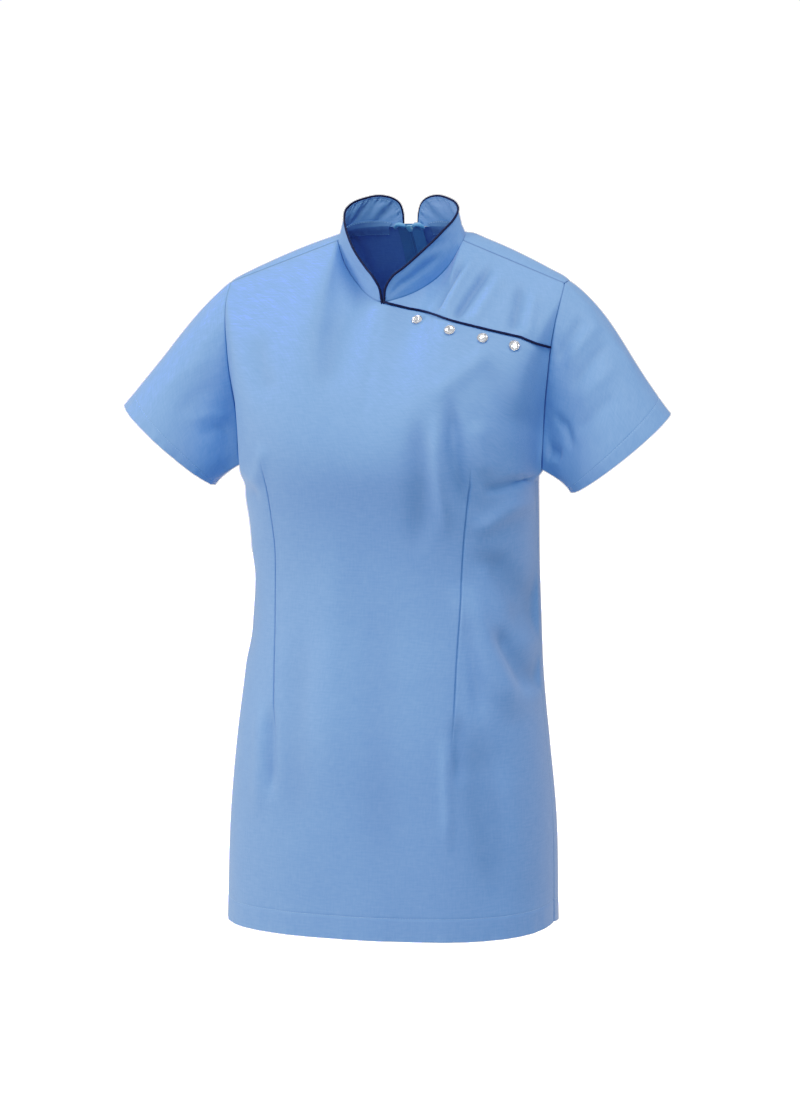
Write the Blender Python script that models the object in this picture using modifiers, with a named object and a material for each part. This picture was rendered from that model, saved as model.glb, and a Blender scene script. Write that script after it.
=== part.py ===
# Medical tunic with a stand collar, a slanted yoke on the wearer's left and a zip at the back.
# It keeps the hollow form it has when worn. Metres, +Z up, front towards -Y, wearer's left at +X.
# The origin lies midway between the two side neck points, where the shoulders carry the tunic.

import math

import bmesh
import bpy
import numpy as np
from mathutils import Matrix, Vector
from mathutils.bvhtree import BVHTree

NAME = "medical_tunic"

# Cloth and its seams
CLOTH = 0.0012
HEM_CLOTH = 0.0024
SEAM_EDGE_CLOTH = 0.0006
SEAM_GAP = 0.0003
LAY_GAP = 0.0003

# Lengths down the body
BASE_Z = -0.250
HEM_Z = -0.718
HEM_DEPTH = 0.024
HEM_SIDE_LIFT = 0.006
VENT_TOP_Z = -0.585
VENT_SHARE = 0.012

# Body sections: height, half width, y of the side seam, depth in front of it, depth behind it
BODY_SECTIONS = (
    (-0.718, 0.1765, -0.0250, 0.130, 0.128),
    (-0.600, 0.1730, -0.0210, 0.132, 0.122),
    (-0.520, 0.1655, -0.0210, 0.129, 0.115),
    (-0.450, 0.1585, -0.0165, 0.122, 0.099),
    (-0.390, 0.1552, -0.0105, 0.117, 0.083),
    (-0.330, 0.1535, -0.0120, 0.113, 0.082),
    (-0.290, 0.1545, -0.0200, 0.111, 0.092),
    (-0.250, 0.1575, -0.0380, 0.104, 0.114),
)
FRONT_ROUNDNESS = 2.4
BACK_ROUNDNESS = 2.2

# Neck seam: x, y, z from the front notch past the side neck to the centre back
NECK_SEAM = (
    (0.0000, -0.0625, -0.0640),
    (0.0080, -0.0595, -0.0620),
    (0.0190, -0.0490, -0.0580),
    (0.0295, -0.0375, -0.0525),
    (0.0390, -0.0265, -0.0455),
    (0.0485, -0.0185, -0.0365),
    (0.0570, -0.0120, -0.0255),
    (0.0635, -0.0065, -0.0130),
    (0.0685, 0.0000, 0.0000),
    (0.0665, 0.0145, 0.0080),
    (0.0530, 0.0270, 0.0120),
    (0.0300, 0.0345, 0.0140),
    (0.0000, 0.0370, 0.0145),
)
SIDE_NECK_ROW = 8

# Armhole: x, y, z from the underarm up to the shoulder tip, in front and behind
ARMHOLE_FRONT = (
    (0.1650, -0.0403, -0.2365),
    (0.1665, -0.0440, -0.2180),
    (0.1675, -0.0430, -0.1960),
    (0.1690, -0.0445, -0.1760),
    (0.1715, -0.0480, -0.1560),
    (0.1745, -0.0505, -0.1320),
    (0.1770, -0.0495, -0.1080),
    (0.1800, -0.0450, -0.0850),
    (0.1825, -0.0340, -0.0630),
    (0.1830, -0.0168, -0.0440),
)
ARMHOLE_BACK = (
    (0.1650, -0.0397, -0.2365),
    (0.1655, -0.0180, -0.2330),
    (0.1660, 0.0080, -0.2180),
    (0.1665, 0.0280, -0.1920),
    (0.1680, 0.0390, -0.1600),
    (0.1710, 0.0420, -0.1250),
    (0.1760, 0.0375, -0.0880),
    (0.1808, 0.0235, -0.0580),
    (0.1830, 0.0035, -0.0425),
    (0.1830, -0.0162, -0.0440),
)

# Share of the half width, from the centre to the side seam, at the side neck and shoulder tip
NECK_SHARE = 0.31
TIP_SHARE = 0.60
CORNER_FADE = 0.16
BACK_RUN_EXTRA = 0.3

# Way the cloth runs into its top edge: share of the half width, then x, y, z
FRONT_RUN = (
    (0.00, 0.00, 0.50, 0.87),
    (0.31, 0.05, 0.80, 0.60),
    (0.60, 0.25, 0.75, 0.60),
    (0.80, 0.45, 0.45, 0.77),
    (1.00, 0.35, 0.00, 0.94),
)
BACK_RUN = (
    (0.00, 0.00, -0.75, 0.66),
    (0.16, 0.00, -0.84, 0.30),
    (0.31, 0.00, -0.88, -0.47),
    (0.60, 0.05, -0.90, -0.40),
    (0.80, 0.35, -0.35, 0.87),
    (1.00, 0.35, 0.00, 0.94),
)

# Slanted seam seen from the front: x, z from the notch to the armhole
SLANT_SEAM = (
    (0.0000, -0.0640),
    (0.0260, -0.0710),
    (0.0610, -0.0772),
    (0.0820, -0.0830),
    (0.1200, -0.0920),
    (0.1510, -0.0990),
    (0.1768, -0.1100),
)
SLANT_END_ALONG = 0.657

# Collar edge, where the piping runs: x, y, z from the notch round to the back end
COLLAR_EDGE = (
    (0.0014, -0.0625, -0.0622),
    (0.0036, -0.0645, -0.0490),
    (0.0112, -0.0640, -0.0370),
    (0.0206, -0.0570, -0.0285),
    (0.0300, -0.0500, -0.0190),
    (0.0390, -0.0415, -0.0090),
    (0.0470, -0.0310, 0.0010),
    (0.0545, -0.0190, 0.0120),
    (0.0600, -0.0065, 0.0215),
    (0.0618, 0.0045, 0.0315),
    (0.0565, 0.0130, 0.0390),
    (0.0460, 0.0210, 0.0438),
    (0.0335, 0.0270, 0.0465),
    (0.0215, 0.0325, 0.0448),
    (0.0130, 0.0365, 0.0393),
    (0.0092, 0.0380, 0.0295),
    (0.0083, 0.0380, 0.0165),
)
COLLAR_START = 0.30
COLLAR_BACK_SHARE = 0.90
PIPING_RADIUS = 0.0011
PIPING_GAP = 0.0005

# Sleeve: the hem ring's highest and lowest points, and how far it reaches in front and behind
SLEEVE_HEM_TOP = (0.2975, -0.0240, -0.1770)
SLEEVE_HEM_BOTTOM = (0.1970, -0.0415, -0.2590)
SLEEVE_HALF_DEPTH = 0.053
SLEEVE_HEM_DEPTH = 0.020
LEFT_SLEEVE_FRONT_DROP = 0.013
RIGHT_SLEEVE_FRONT_DROP = -0.006

# Way a sleeve leaves its armhole: turn from the underarm over the front, then x, y, z
SLEEVE_RUN = (
    (0.00, 0.75, -0.05, -0.40),
    (0.25, 0.80, -0.30, -0.55),
    (0.50, 0.80, -0.02, -0.60),
    (0.62, 0.88, 0.12, -0.46),
    (0.75, 0.86, 0.25, -0.46),
    (1.00, 0.75, -0.05, -0.40),
)

# Zip at the centre back
BACK_EDGE_X = 0.0045
ZIP_LENGTH = 0.520
TAPE_INNER_X = 0.0015
TAPE_OUTER_X = 0.0140
TAPE_CLOTH = 0.0010
TAPE_RISE = 0.0060
TAPE_DEPTH = 0.0022
NECK_TAPE_LEVEL = 1.945
NECK_TAPE_TOP_LEVEL = 1.995
NECK_TAPE_START = 0.075
NECK_TAPE_END = 0.262
SLIDER_HALF_WIDTH = 0.0038
SLIDER_HEIGHT = 0.0090
SLIDER_PLATE = 0.0009
SLIDER_POST_HALF_WIDTH = 0.0011
SLIDER_RISE = 0.0005
CHAIN_HALF_WIDTH = 0.0012
SLIDER_SINK = 0.0002
LUG_WIDTH = 0.0009
LUG_HALF_HEIGHT = 0.0015
LUG_REACH = 0.0022
PULL_EYE_HALF_WIDTH = 0.0014
PULL_EYE_RADIUS = 0.0009
PULL_NECK_HALF_WIDTH = 0.0013
PULL_NECK_LENGTH = 0.0045
PULL_HALF_WIDTH = 0.0026
PULL_LENGTH = 0.0240
PULL_THICKNESS = 0.0010

# Buttons below the slanted seam: x, drop under the seam
BUTTONS = (
    (0.0385, 0.0105),
    (0.0805, 0.0100),
    (0.1155, 0.0100),
    (0.1470, 0.0100),
)
BUTTON_PROFILE = (
    (0.0030, 0.0000),
    (0.0052, 0.0003),
    (0.0058, 0.0010),
    (0.0057, 0.0017),
    (0.0048, 0.0028),
    (0.0034, 0.0036),
    (0.0016, 0.0040),
)
BUTTON_SIDES = 16
BUTTON_GAP = 0.0006

# Steps along and across the panels
NECK_STEPS = 9
SHOULDER_STEPS = 5
UPPER_ARMHOLE_STEPS = 4
LOWER_ARMHOLE_STEPS = 7
BODY_STEPS = 9
CHEST_STEPS = 9
CHEST_CROWDING = 1.5
YOKE_STEPS = 5
SLEEVE_STEPS = 6
COLLAR_RISE_STEPS = 3
PIPING_STEPS = 32

CLOTH_BLUE = (0.155, 0.330, 0.680, 1.0)
TAPE_BLUE = (0.090, 0.260, 0.560, 1.0)
NAVY = (0.012, 0.020, 0.075, 1.0)
CRYSTAL = (0.780, 0.820, 0.860, 1.0)
ZIP_BLUE = (0.120, 0.300, 0.620, 1.0)


def material(name, colour, roughness, metallic=0.0):
    made = bpy.data.materials.new(name)
    made.use_nodes = True
    shader = made.node_tree.nodes["Principled BSDF"]
    shader.inputs["Base Color"].default_value = colour
    shader.inputs["Roughness"].default_value = roughness
    shader.inputs["Metallic"].default_value = metallic
    made.diffuse_color = colour
    return made


def place(mesh, name, finish):
    mesh.materials.append(finish)
    piece = bpy.data.objects.new(name, mesh)
    bpy.data.collections[NAME].objects.link(piece)
    return piece


def unit(vector):
    return np.asarray(vector) / np.linalg.norm(vector)


def curve_at(rows, share):
    # A smooth curve through the rows, which are taken as evenly spaced
    points = np.array(rows, dtype=float)
    place_on = min(max(share, 0.0), 1.0) * (len(points) - 1)
    index = min(int(place_on), len(points) - 2)
    step = place_on - index
    slopes = np.gradient(points, axis=0)
    return hermite(points[index], slopes[index], points[index + 1], slopes[index + 1], step)


def hermite(start, start_slope, end, end_slope, t):
    return (
        (2 * t**3 - 3 * t**2 + 1) * start
        + (t**3 - 2 * t**2 + t) * start_slope
        + (3 * t**2 - 2 * t**3) * end
        + (t**3 - t**2) * end_slope
    )


def even_curve(rows, count, start=0.0, end=1.0):
    # Points at even distances along the smooth curve through the rows
    fine = np.array([curve_at(rows, share) for share in np.linspace(0, 1, 240)])
    runs = np.concatenate(([0.0], np.cumsum(np.linalg.norm(np.diff(fine, axis=0), axis=1))))
    wanted = np.linspace(start, end, count) * runs[-1]
    return np.array([[np.interp(run, runs, fine[:, axis]) for axis in range(3)] for run in wanted])


def row_at(rows, key):
    # A row of a table, blended between its neighbours by the first column
    table = np.array(rows)
    return np.array([np.interp(key, table[:, 0], table[:, column]) for column in range(1, table.shape[1])])


SECTION_TABLE = np.array(BODY_SECTIONS)
SECTION_SLOPES = np.gradient(SECTION_TABLE[:, 1:], SECTION_TABLE[:, 0], axis=0)


def section_at(z):
    heights = SECTION_TABLE[:, 0]
    index = min(max(int(np.searchsorted(heights, z)) - 1, 0), len(heights) - 2)
    span = heights[index + 1] - heights[index]
    return hermite(
        SECTION_TABLE[index, 1:],
        SECTION_SLOPES[index] * span,
        SECTION_TABLE[index + 1, 1:],
        SECTION_SLOPES[index + 1] * span,
        (z - heights[index]) / span,
    )


def section_point(side, share, z):
    # side is -1 in front and 1 behind; share runs from -1 to 1 between the side seams
    half_width, seam_y, front_depth, back_depth = section_at(z)
    depth = front_depth if side < 0 else back_depth
    roundness = FRONT_ROUNDNESS if side < 0 else BACK_ROUNDNESS
    across = math.sin(share * math.pi / 2)
    out = max(1 - abs(across) ** roundness, 0.0) ** (1 / roundness)
    return np.array([half_width * across, seam_y + side * depth * out, z])


def neck_point(share):
    return curve_at(NECK_SEAM, share)


SIDE_NECK = SIDE_NECK_ROW / (len(NECK_SEAM) - 1)


def top_edge(side, share):
    reach = min(abs(share), 1.0)
    if reach <= NECK_SHARE:
        along = reach / NECK_SHARE
        start = 0.0 if side < 0 else 1.0
        point = neck_point(start + (SIDE_NECK - start) * along)
    elif reach <= TIP_SHARE:
        along = (reach - NECK_SHARE) / (TIP_SHARE - NECK_SHARE)
        tip = np.array(ARMHOLE_FRONT[-1] if side < 0 else ARMHOLE_BACK[-1])
        point = neck_point(SIDE_NECK) * (1 - along) + tip * along
    else:
        along = (1 - reach) / (1 - TIP_SHARE)
        point = curve_at(ARMHOLE_FRONT if side < 0 else ARMHOLE_BACK, along)
    return point * np.array([1.0 if share >= 0 else -1.0, 1.0, 1.0])


def faded_top_edge(side, share, level):
    # The corners of the top edge fade away down the panel
    spread = min(CORNER_FADE * (2 - level), 1 - abs(share))
    shares = [share + spread * step / 3 for step in range(-3, 4)]
    return np.mean([top_edge(side, value) for value in shares], axis=0)


def body_point(side, share, level):
    # level runs from 0 at the hem to 1 below the bust, and to 2 at the top edge
    if level <= 1:
        lift = HEM_SIDE_LIFT * share**4 * (1 - level) ** 3
        return section_point(side, share, HEM_Z + (BASE_Z - HEM_Z) * level + lift)
    foot = section_point(side, share, BASE_Z)
    rise = (foot - section_point(side, share, BASE_Z - 0.01)) / 0.01
    top = faded_top_edge(side, share, level)
    run = row_at(FRONT_RUN if side < 0 else BACK_RUN, abs(share))
    run = unit(run * np.array([1.0 if share >= 0 else -1.0, 1.0, 1.0]))
    length = np.linalg.norm(top - foot)
    stretch = 1.0 if side < 0 else 1 + BACK_RUN_EXTRA * (1 - abs(share))
    return hermite(foot, unit(rise) * length, top, run * length * stretch, level - 1)


def outward(side, share, level):
    step = 0.004
    high = min(level + step, 2.0)
    low = high - 2 * step
    along = body_point(side, share + step, level) - body_point(side, share - step, level)
    up = body_point(side, share, high) - body_point(side, share, low)
    return unit(np.cross(along, up)) * -side


def armhole_marks():
    # Places along the armhole, from the underarm up, where the panels and the sleeve share points
    lower = np.linspace(0, SLANT_END_ALONG, LOWER_ARMHOLE_STEPS + 1)
    return np.concatenate((lower, np.linspace(SLANT_END_ALONG, 1, UPPER_ARMHOLE_STEPS + 1)[1:]))


def panel_shares(start=-1.0, end=1.0):
    marks = np.concatenate((
        np.linspace(0, NECK_SHARE, NECK_STEPS + 1),
        np.linspace(NECK_SHARE, TIP_SHARE, SHOULDER_STEPS + 1)[1:],
        (1 - armhole_marks() * (1 - TIP_SHARE))[-2::-1],
    ))
    marks = np.concatenate((-marks[:0:-1], marks))
    return marks[(marks > start - 1e-9) & (marks < end + 1e-9)]


SLANT_END = 1 - SLANT_END_ALONG * (1 - TIP_SHARE)


def slant_z(x):
    return row_at(SLANT_SEAM, x)[0]


def slant_level(share):
    # The level where the slanted seam crosses the panel at this share
    if share <= 0 or share > SLANT_END - 1e-9:
        return 2.0
    low, high = 1.0, 2.0
    for _ in range(30):
        middle = (low + high) / 2
        point = body_point(-1, share, middle)
        if point[2] < slant_z(point[0]):
            low = middle
        else:
            high = middle
    return (low + high) / 2


def body_levels(top=2.0, extra=()):
    hem_share = HEM_DEPTH / (BASE_Z - HEM_Z)
    low = np.concatenate(([0.0, hem_share], np.linspace(hem_share + 0.008, 1.0, BODY_STEPS), extra))
    crowded = 1 - (1 - np.linspace(0, 1, CHEST_STEPS + 1)[1:]) ** CHEST_CROWDING
    return np.concatenate((np.sort(low), 1 + (top - 1) * crowded))


def vented(share, level):
    # Below the vent's top the side edges draw back from each other
    z = HEM_Z + (BASE_Z - HEM_Z) * level
    open_share = max(VENT_TOP_Z - z, 0.0) / (VENT_TOP_Z - HEM_Z)
    return share * (1 - VENT_SHARE * open_share)


def trim(grid, left=True, right=True, bottom=False, top=True):
    # Draws the edges back by half the seam gap
    grid = grid.copy()

    def draw_back(edge, inner):
        along = np.gradient(edge, axis=0)
        along /= np.linalg.norm(along, axis=1)[:, None]
        way = inner - edge
        way -= along * np.sum(way * along, axis=1)[:, None]
        edge += way / np.linalg.norm(way, axis=1)[:, None] * SEAM_GAP / 2

    if left:
        draw_back(grid[:, 0], grid[:, 1])
    if right:
        draw_back(grid[:, -1], grid[:, -2])
    if bottom:
        draw_back(grid[0], grid[1])
    if top:
        draw_back(grid[-1], grid[-2])
    return grid


def cloth_wall(name, grid, finish, flip=False, ring=False, thickness=None, hem_rows=0, cloth=CLOTH):
    # A wall of cloth whose outer face runs through the grid, thin at its seams and double at a hem
    rows, columns = grid.shape[:2]
    faces = []
    for row in range(rows - 1):
        for column in range(columns if ring else columns - 1):
            after = (column + 1) % columns
            face = [
                row * columns + column,
                row * columns + after,
                (row + 1) * columns + after,
                (row + 1) * columns + column,
            ]
            faces.append(face[::-1] if flip else face)
    mesh = bpy.data.meshes.new(name)
    mesh.from_pydata([tuple(point) for point in grid.reshape(-1, 3)], [], faces)
    mesh.shade_smooth()
    piece = place(mesh, name, finish)
    group = piece.vertex_groups.new(name="cloth")
    for row in range(rows):
        for column in range(columns):
            seam = row == rows - 1 or (not ring and column in (0, columns - 1))
            depth = SEAM_EDGE_CLOTH if seam else cloth
            if row < hem_rows:
                depth = HEM_CLOTH if not seam else cloth
            if thickness is not None:
                depth = thickness
            group.add([row * columns + column], depth / HEM_CLOTH, "REPLACE")
    solid = piece.modifiers.new("wall", "SOLIDIFY")
    solid.thickness = HEM_CLOTH
    solid.offset = -1
    solid.use_even_offset = False
    solid.vertex_group = group.name
    solid.thickness_vertex_group = 0.0
    return piece


def tube(name, points, radius, finish):
    line = bpy.data.curves.new(name, "CURVE")
    line.dimensions = "3D"
    line.bevel_depth = radius
    line.bevel_resolution = 2
    line.use_fill_caps = True
    spline = line.splines.new("POLY")
    spline.points.add(len(points) - 1)
    for spot, point in zip(spline.points, points):
        spot.co = (*point, 1.0)
    line.materials.append(finish)
    piece = bpy.data.objects.new(name, line)
    bpy.data.collections[NAME].objects.link(piece)
    return piece


def front_grid():
    rows = []
    for step in range(len(body_levels())):
        row = []
        for share in panel_shares():
            level = body_levels(slant_level(share))[step]
            row.append(body_point(-1, vented(share, level), level))
        rows.append(row)
    return np.array(rows)


def make_front(finish):
    cloth_wall("front", trim(front_grid()), finish, hem_rows=2)


def make_yoke(finish):
    rows = []
    for step in np.linspace(0, 1, YOKE_STEPS + 1):
        row = []
        for share in panel_shares(0.0, SLANT_END):
            low = slant_level(share)
            row.append(body_point(-1, share, low + (2 - low) * step))
        rows.append(row)
    grid = np.array(rows)
    grid[:, 0] += (grid[:, 1] - grid[:, 0]) * 0.35
    grid[:, -1] += (grid[:, -2] - grid[:, -1]) * 0.15
    cloth_wall("front_yoke", trim(grid, bottom=True), finish)


def back_grid():
    # The left back's outer face; its centre edge stands off the middle beside the zip
    zip_end = (-ZIP_LENGTH - HEM_Z) / (BASE_Z - HEM_Z)
    levels = body_levels(extra=(zip_end, zip_end + 0.02))
    rows = []
    for level in levels:
        row = [body_point(1, vented(share, level), level) for share in panel_shares(0.0)]
        if level > zip_end + 0.01:
            row[0] = row[0] + np.array([BACK_EDGE_X, 0.0, 0.0])
        rows.append(row)
    return np.array(rows), panel_shares(0.0), levels


def make_back(side_name, sign, finish):
    grid = back_grid()[0] * np.array([sign, 1.0, 1.0])
    cloth_wall("back_" + side_name, trim(grid), finish, flip=sign > 0, hem_rows=2)


def armhole_ring(turn):
    # turn runs from the underarm up the front to the shoulder tip at a half, and down behind
    if turn <= 0.5:
        return curve_at(ARMHOLE_FRONT, turn * 2)
    return curve_at(ARMHOLE_BACK, (1 - turn) * 2)


def sleeve_point(turn, along, front_drop):
    top = np.array(SLEEVE_HEM_TOP)
    bottom = np.array(SLEEVE_HEM_BOTTOM)
    centre = (top + bottom) / 2
    upward = (top - bottom) / 2
    axis = unit(np.cross(upward, [0.0, -1.0, 0.0]))
    forward = unit(np.cross(axis, upward)) * -1
    forward = forward * (1.0 if forward[1] < 0 else -1.0)
    axis = axis * (1.0 if axis[2] < 0 else -1.0)
    forward = forward * SLEEVE_HALF_DEPTH + axis * front_drop
    angle = turn * 2 * math.pi
    foot = centre - upward * math.cos(angle) + forward * math.sin(angle)
    start = armhole_ring(turn)
    length = np.linalg.norm(foot - start)
    run = unit(row_at(SLEEVE_RUN, turn))
    return hermite(start, run * length, foot, axis * length, along)


def make_sleeve(side_name, sign, front_drop, finish):
    length = np.linalg.norm(sleeve_point(0.5, 1.0, 0.0) - sleeve_point(0.5, 0.0, 0.0))
    hem = 1 - SLEEVE_HEM_DEPTH / length
    marks = np.concatenate((np.linspace(0, hem - 0.03, SLEEVE_STEPS), [hem, 1.0]))[::-1]
    turns = np.concatenate((armhole_marks() / 2, 1 - armhole_marks()[-2:0:-1] / 2))
    rows = []
    for along in marks:
        ring = [sleeve_point(turn, along, front_drop) for turn in turns]
        rows.append(np.array(ring) * np.array([sign, 1.0, 1.0]))
    grid = trim(np.array(rows), left=False, right=False)
    cloth_wall("sleeve_" + side_name, grid, finish, flip=sign > 0, ring=True, hem_rows=2)


def run_shares(points):
    runs = np.concatenate(([0.0], np.cumsum(np.linalg.norm(np.diff(points, axis=0), axis=1))))
    return runs / runs[-1]


def collar_lines():
    # The seam and the cloth's edge, matched point by point from the front to the back
    front = np.linspace(0, SIDE_NECK, NECK_STEPS + 1)
    behind = np.linspace(SIDE_NECK, 1, NECK_STEPS + 1)[1:]
    seam = np.array([neck_point(share) for share in np.concatenate((front, behind))])
    seam[0] += (seam[1] - seam[0]) * COLLAR_START
    seam[-1] += (seam[-2] - seam[-1]) * COLLAR_BACK_SHARE
    fine = even_curve(COLLAR_EDGE, 400)
    shares = 0.01 + 0.99 * run_shares(seam)
    marks = np.linspace(0, 1, len(fine))
    edge = np.array([[np.interp(share, marks, fine[:, axis]) for axis in range(3)] for share in shares])
    tangent = np.gradient(edge, axis=0)
    inward = seam - edge
    for index in range(len(edge)):
        along = unit(tangent[index])
        across = inward[index] - along * (inward[index] @ along)
        edge[index] += unit(across) * (PIPING_RADIUS + PIPING_GAP)
    return seam, edge


def make_collar(side_name, sign, finish):
    seam, edge = collar_lines()
    rows = [seam + (edge - seam) * step for step in np.linspace(0, 1, COLLAR_RISE_STEPS + 1)]
    grid = np.array(rows) * np.array([sign, 1.0, 1.0])
    grid = trim(grid, left=False, right=False, bottom=True, top=False)
    cloth_wall("collar_" + side_name, grid, finish, flip=sign < 0, thickness=CLOTH)


def make_collar_piping(side_name, sign, finish):
    points = even_curve(COLLAR_EDGE, PIPING_STEPS) * np.array([sign, 1.0, 1.0])
    tube("collar_piping_" + side_name, points, PIPING_RADIUS, finish)


def make_yoke_piping(finish):
    # The piping lies on the seam between the front and the yoke
    seam = []
    for share in panel_shares(0.0, SLANT_END):
        level = slant_level(share)
        lift = outward(-1, share, min(level, 1.98)) * (PIPING_RADIUS + LAY_GAP)
        seam.append(body_point(-1, share, level) + lift)
    seam[0] += (seam[1] - seam[0]) * 0.6
    seam[-1] += (seam[-2] - seam[-1]) * 0.12
    points = []
    for start, end in zip(seam, seam[1:]):
        points.extend([start, (start + end) / 2])
    points.append(seam[-1])
    tube("yoke_piping", points, PIPING_RADIUS, finish)


def front_seats():
    # Where each button meets the front's face, and the way the face looks there
    grid = front_grid()
    rows, columns = grid.shape[:2]
    faces = []
    for row in range(rows - 1):
        for column in range(columns - 1):
            corner = row * columns + column
            faces.append((corner, corner + 1, corner + columns + 1, corner + columns))
    tree = BVHTree.FromPolygons([tuple(point) for point in grid.reshape(-1, 3)], faces)
    for x, drop in BUTTONS:
        start = Vector((x, -1.0, slant_z(x) - drop))
        place_at, facing, _, _ = tree.ray_cast(start, Vector((0, 1, 0)))
        yield place_at, facing if facing.y < 0 else -facing


def turned_mesh(name, profile, sides):
    shape = bmesh.new()
    rings = []
    for radius, height in profile:
        ring = []
        for step in range(sides):
            angle = step * 2 * math.pi / sides
            ring.append(shape.verts.new((radius * math.cos(angle), radius * math.sin(angle), height)))
        rings.append(ring)
    for lower, upper in zip(rings, rings[1:]):
        for step in range(sides):
            after = (step + 1) % sides
            shape.faces.new((lower[step], lower[after], upper[after], upper[step]))
    shape.faces.new(rings[0][::-1])
    shape.faces.new(rings[-1])
    mesh = bpy.data.meshes.new(name)
    shape.to_mesh(mesh)
    shape.free()
    mesh.shade_smooth()
    mesh.set_sharp_from_angle(angle=math.radians(40))
    return mesh


def make_buttons(finish):
    for number, (seat, facing) in enumerate(front_seats(), start=1):
        piece = place(turned_mesh("button", BUTTON_PROFILE, BUTTON_SIDES), "button_%d" % number, finish)
        piece.location = seat + facing * BUTTON_GAP
        piece.rotation_euler = facing.to_track_quat("Z", "Y").to_euler()


def inside_back(share, level, depth):
    return body_point(1, share, level) - outward(1, share, level) * depth


def make_neck_tape(side_name, sign, finish):
    # The tape over the neck seam lies inside the back, below the collar
    grid, shares, levels = back_grid()

    def on_panel(share, level):
        column = [[np.interp(share, shares, row[:, axis]) for axis in range(3)] for row in grid]
        return np.array([np.interp(level, levels, np.array(column)[:, axis]) for axis in range(3)])

    rows = []
    for level in (NECK_TAPE_LEVEL, levels[-2], NECK_TAPE_TOP_LEVEL):
        row = []
        for share in np.concatenate(([NECK_TAPE_START], shares[3:NECK_STEPS - 1], [NECK_TAPE_END])):
            inside = on_panel(share, level) - outward(1, share, level) * TAPE_DEPTH
            row.append(inside * np.array([sign, 1.0, 1.0]))
        rows.append(row)
    cloth_wall("neck_tape_" + side_name, np.array(rows), finish, flip=sign > 0, thickness=TAPE_CLOTH)


def zip_line(count):
    # Points down the centre back, just inside the cloth, from the tape's top to its lower end
    levels = np.linspace(2.0, 0.0, 400)
    line = np.array([inside_back(0.0, level, TAPE_DEPTH) for level in levels])
    rise = unit(line[0] - line[3])
    line = np.concatenate(([line[0] + rise * TAPE_RISE], line))
    runs = np.concatenate(([0.0], np.cumsum(np.linalg.norm(np.diff(line, axis=0), axis=1))))
    wanted = np.concatenate(([0.0], np.linspace(TAPE_RISE, ZIP_LENGTH, count)))
    return np.array([[np.interp(run, runs, line[:, axis]) for axis in range(3)] for run in wanted])


def make_zip_chain(finish):
    # The closed teeth, as one plain strip between the tapes, below the slider
    centre = zip_line(26)
    start = SLIDER_RISE - SLIDER_HEIGHT / 2 - LAY_GAP
    top = centre[1] + unit(centre[2] - centre[1]) * -start
    rows = []
    for point in np.concatenate(([top], centre[2:-1]))[::-1]:
        rows.append([point + np.array([x, 0.0, 0.0]) for x in (-CHAIN_HALF_WIDTH, CHAIN_HALF_WIDTH)])
    cloth_wall("zip_chain", np.array(rows), finish, flip=True, thickness=TAPE_CLOTH)


def make_zip_tape(side_name, sign, finish):
    centre = zip_line(26)
    rows = []
    for point in centre[::-1]:
        row = []
        for x in np.linspace(TAPE_INNER_X, TAPE_OUTER_X, 3):
            row.append((point + np.array([x, 0.0, 0.0])) * np.array([sign, 1.0, 1.0]))
        rows.append(row)
    cloth_wall("zip_tape_" + side_name, np.array(rows), finish, flip=sign > 0, thickness=TAPE_CLOTH)


def box_mesh(low, high):
    shape = bmesh.new()
    bmesh.ops.create_cube(shape, size=1.0)
    size = np.array(high) - np.array(low)
    middle = (np.array(high) + np.array(low)) / 2
    bmesh.ops.scale(shape, vec=tuple(size), verts=shape.verts)
    bmesh.ops.translate(shape, vec=tuple(middle), verts=shape.verts)
    mesh = bpy.data.meshes.new("box")
    shape.to_mesh(mesh)
    shape.free()
    return mesh


def bar_mesh(radius, half_length, sides=12):
    # A round bar along X
    shape = bmesh.new()
    bmesh.ops.create_cone(
        shape,
        cap_ends=True,
        segments=sides,
        radius1=radius,
        radius2=radius,
        depth=2 * half_length,
        matrix=Matrix.Rotation(math.pi / 2, 4, "Y"),
    )
    mesh = bpy.data.meshes.new("bar")
    shape.to_mesh(mesh)
    shape.free()
    return mesh


def tool(mesh, frame, name):
    # A cutter or filler that a Boolean uses and the part leaves out
    piece = bpy.data.objects.new(name, mesh)
    bpy.data.collections["cutters"].objects.link(piece)
    piece.matrix_world = frame
    piece.hide_render = True
    piece.display_type = "WIRE"
    return piece


def combine(piece, other, operation):
    change = piece.modifiers.new(operation.lower(), "BOOLEAN")
    change.operation = operation
    change.object = other


def zip_frame():
    # The slider's own frame: Z up along the tape, Y out of the back
    line = zip_line(26)
    up = unit(line[0] - line[1])
    centre = line[1] + up * SLIDER_RISE
    out = unit(np.cross(up, [-1.0, 0.0, 0.0]))
    out = out * (1.0 if out[1] > 0 else -1.0)
    centre = centre - out * TAPE_CLOTH / 2
    frame = Matrix.Identity(4)
    for row in range(3):
        frame[row][0] = (1.0, 0.0, 0.0)[row]
        frame[row][1] = float(out[row])
        frame[row][2] = float(up[row])
        frame[row][3] = float(centre[row])
    return frame


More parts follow.
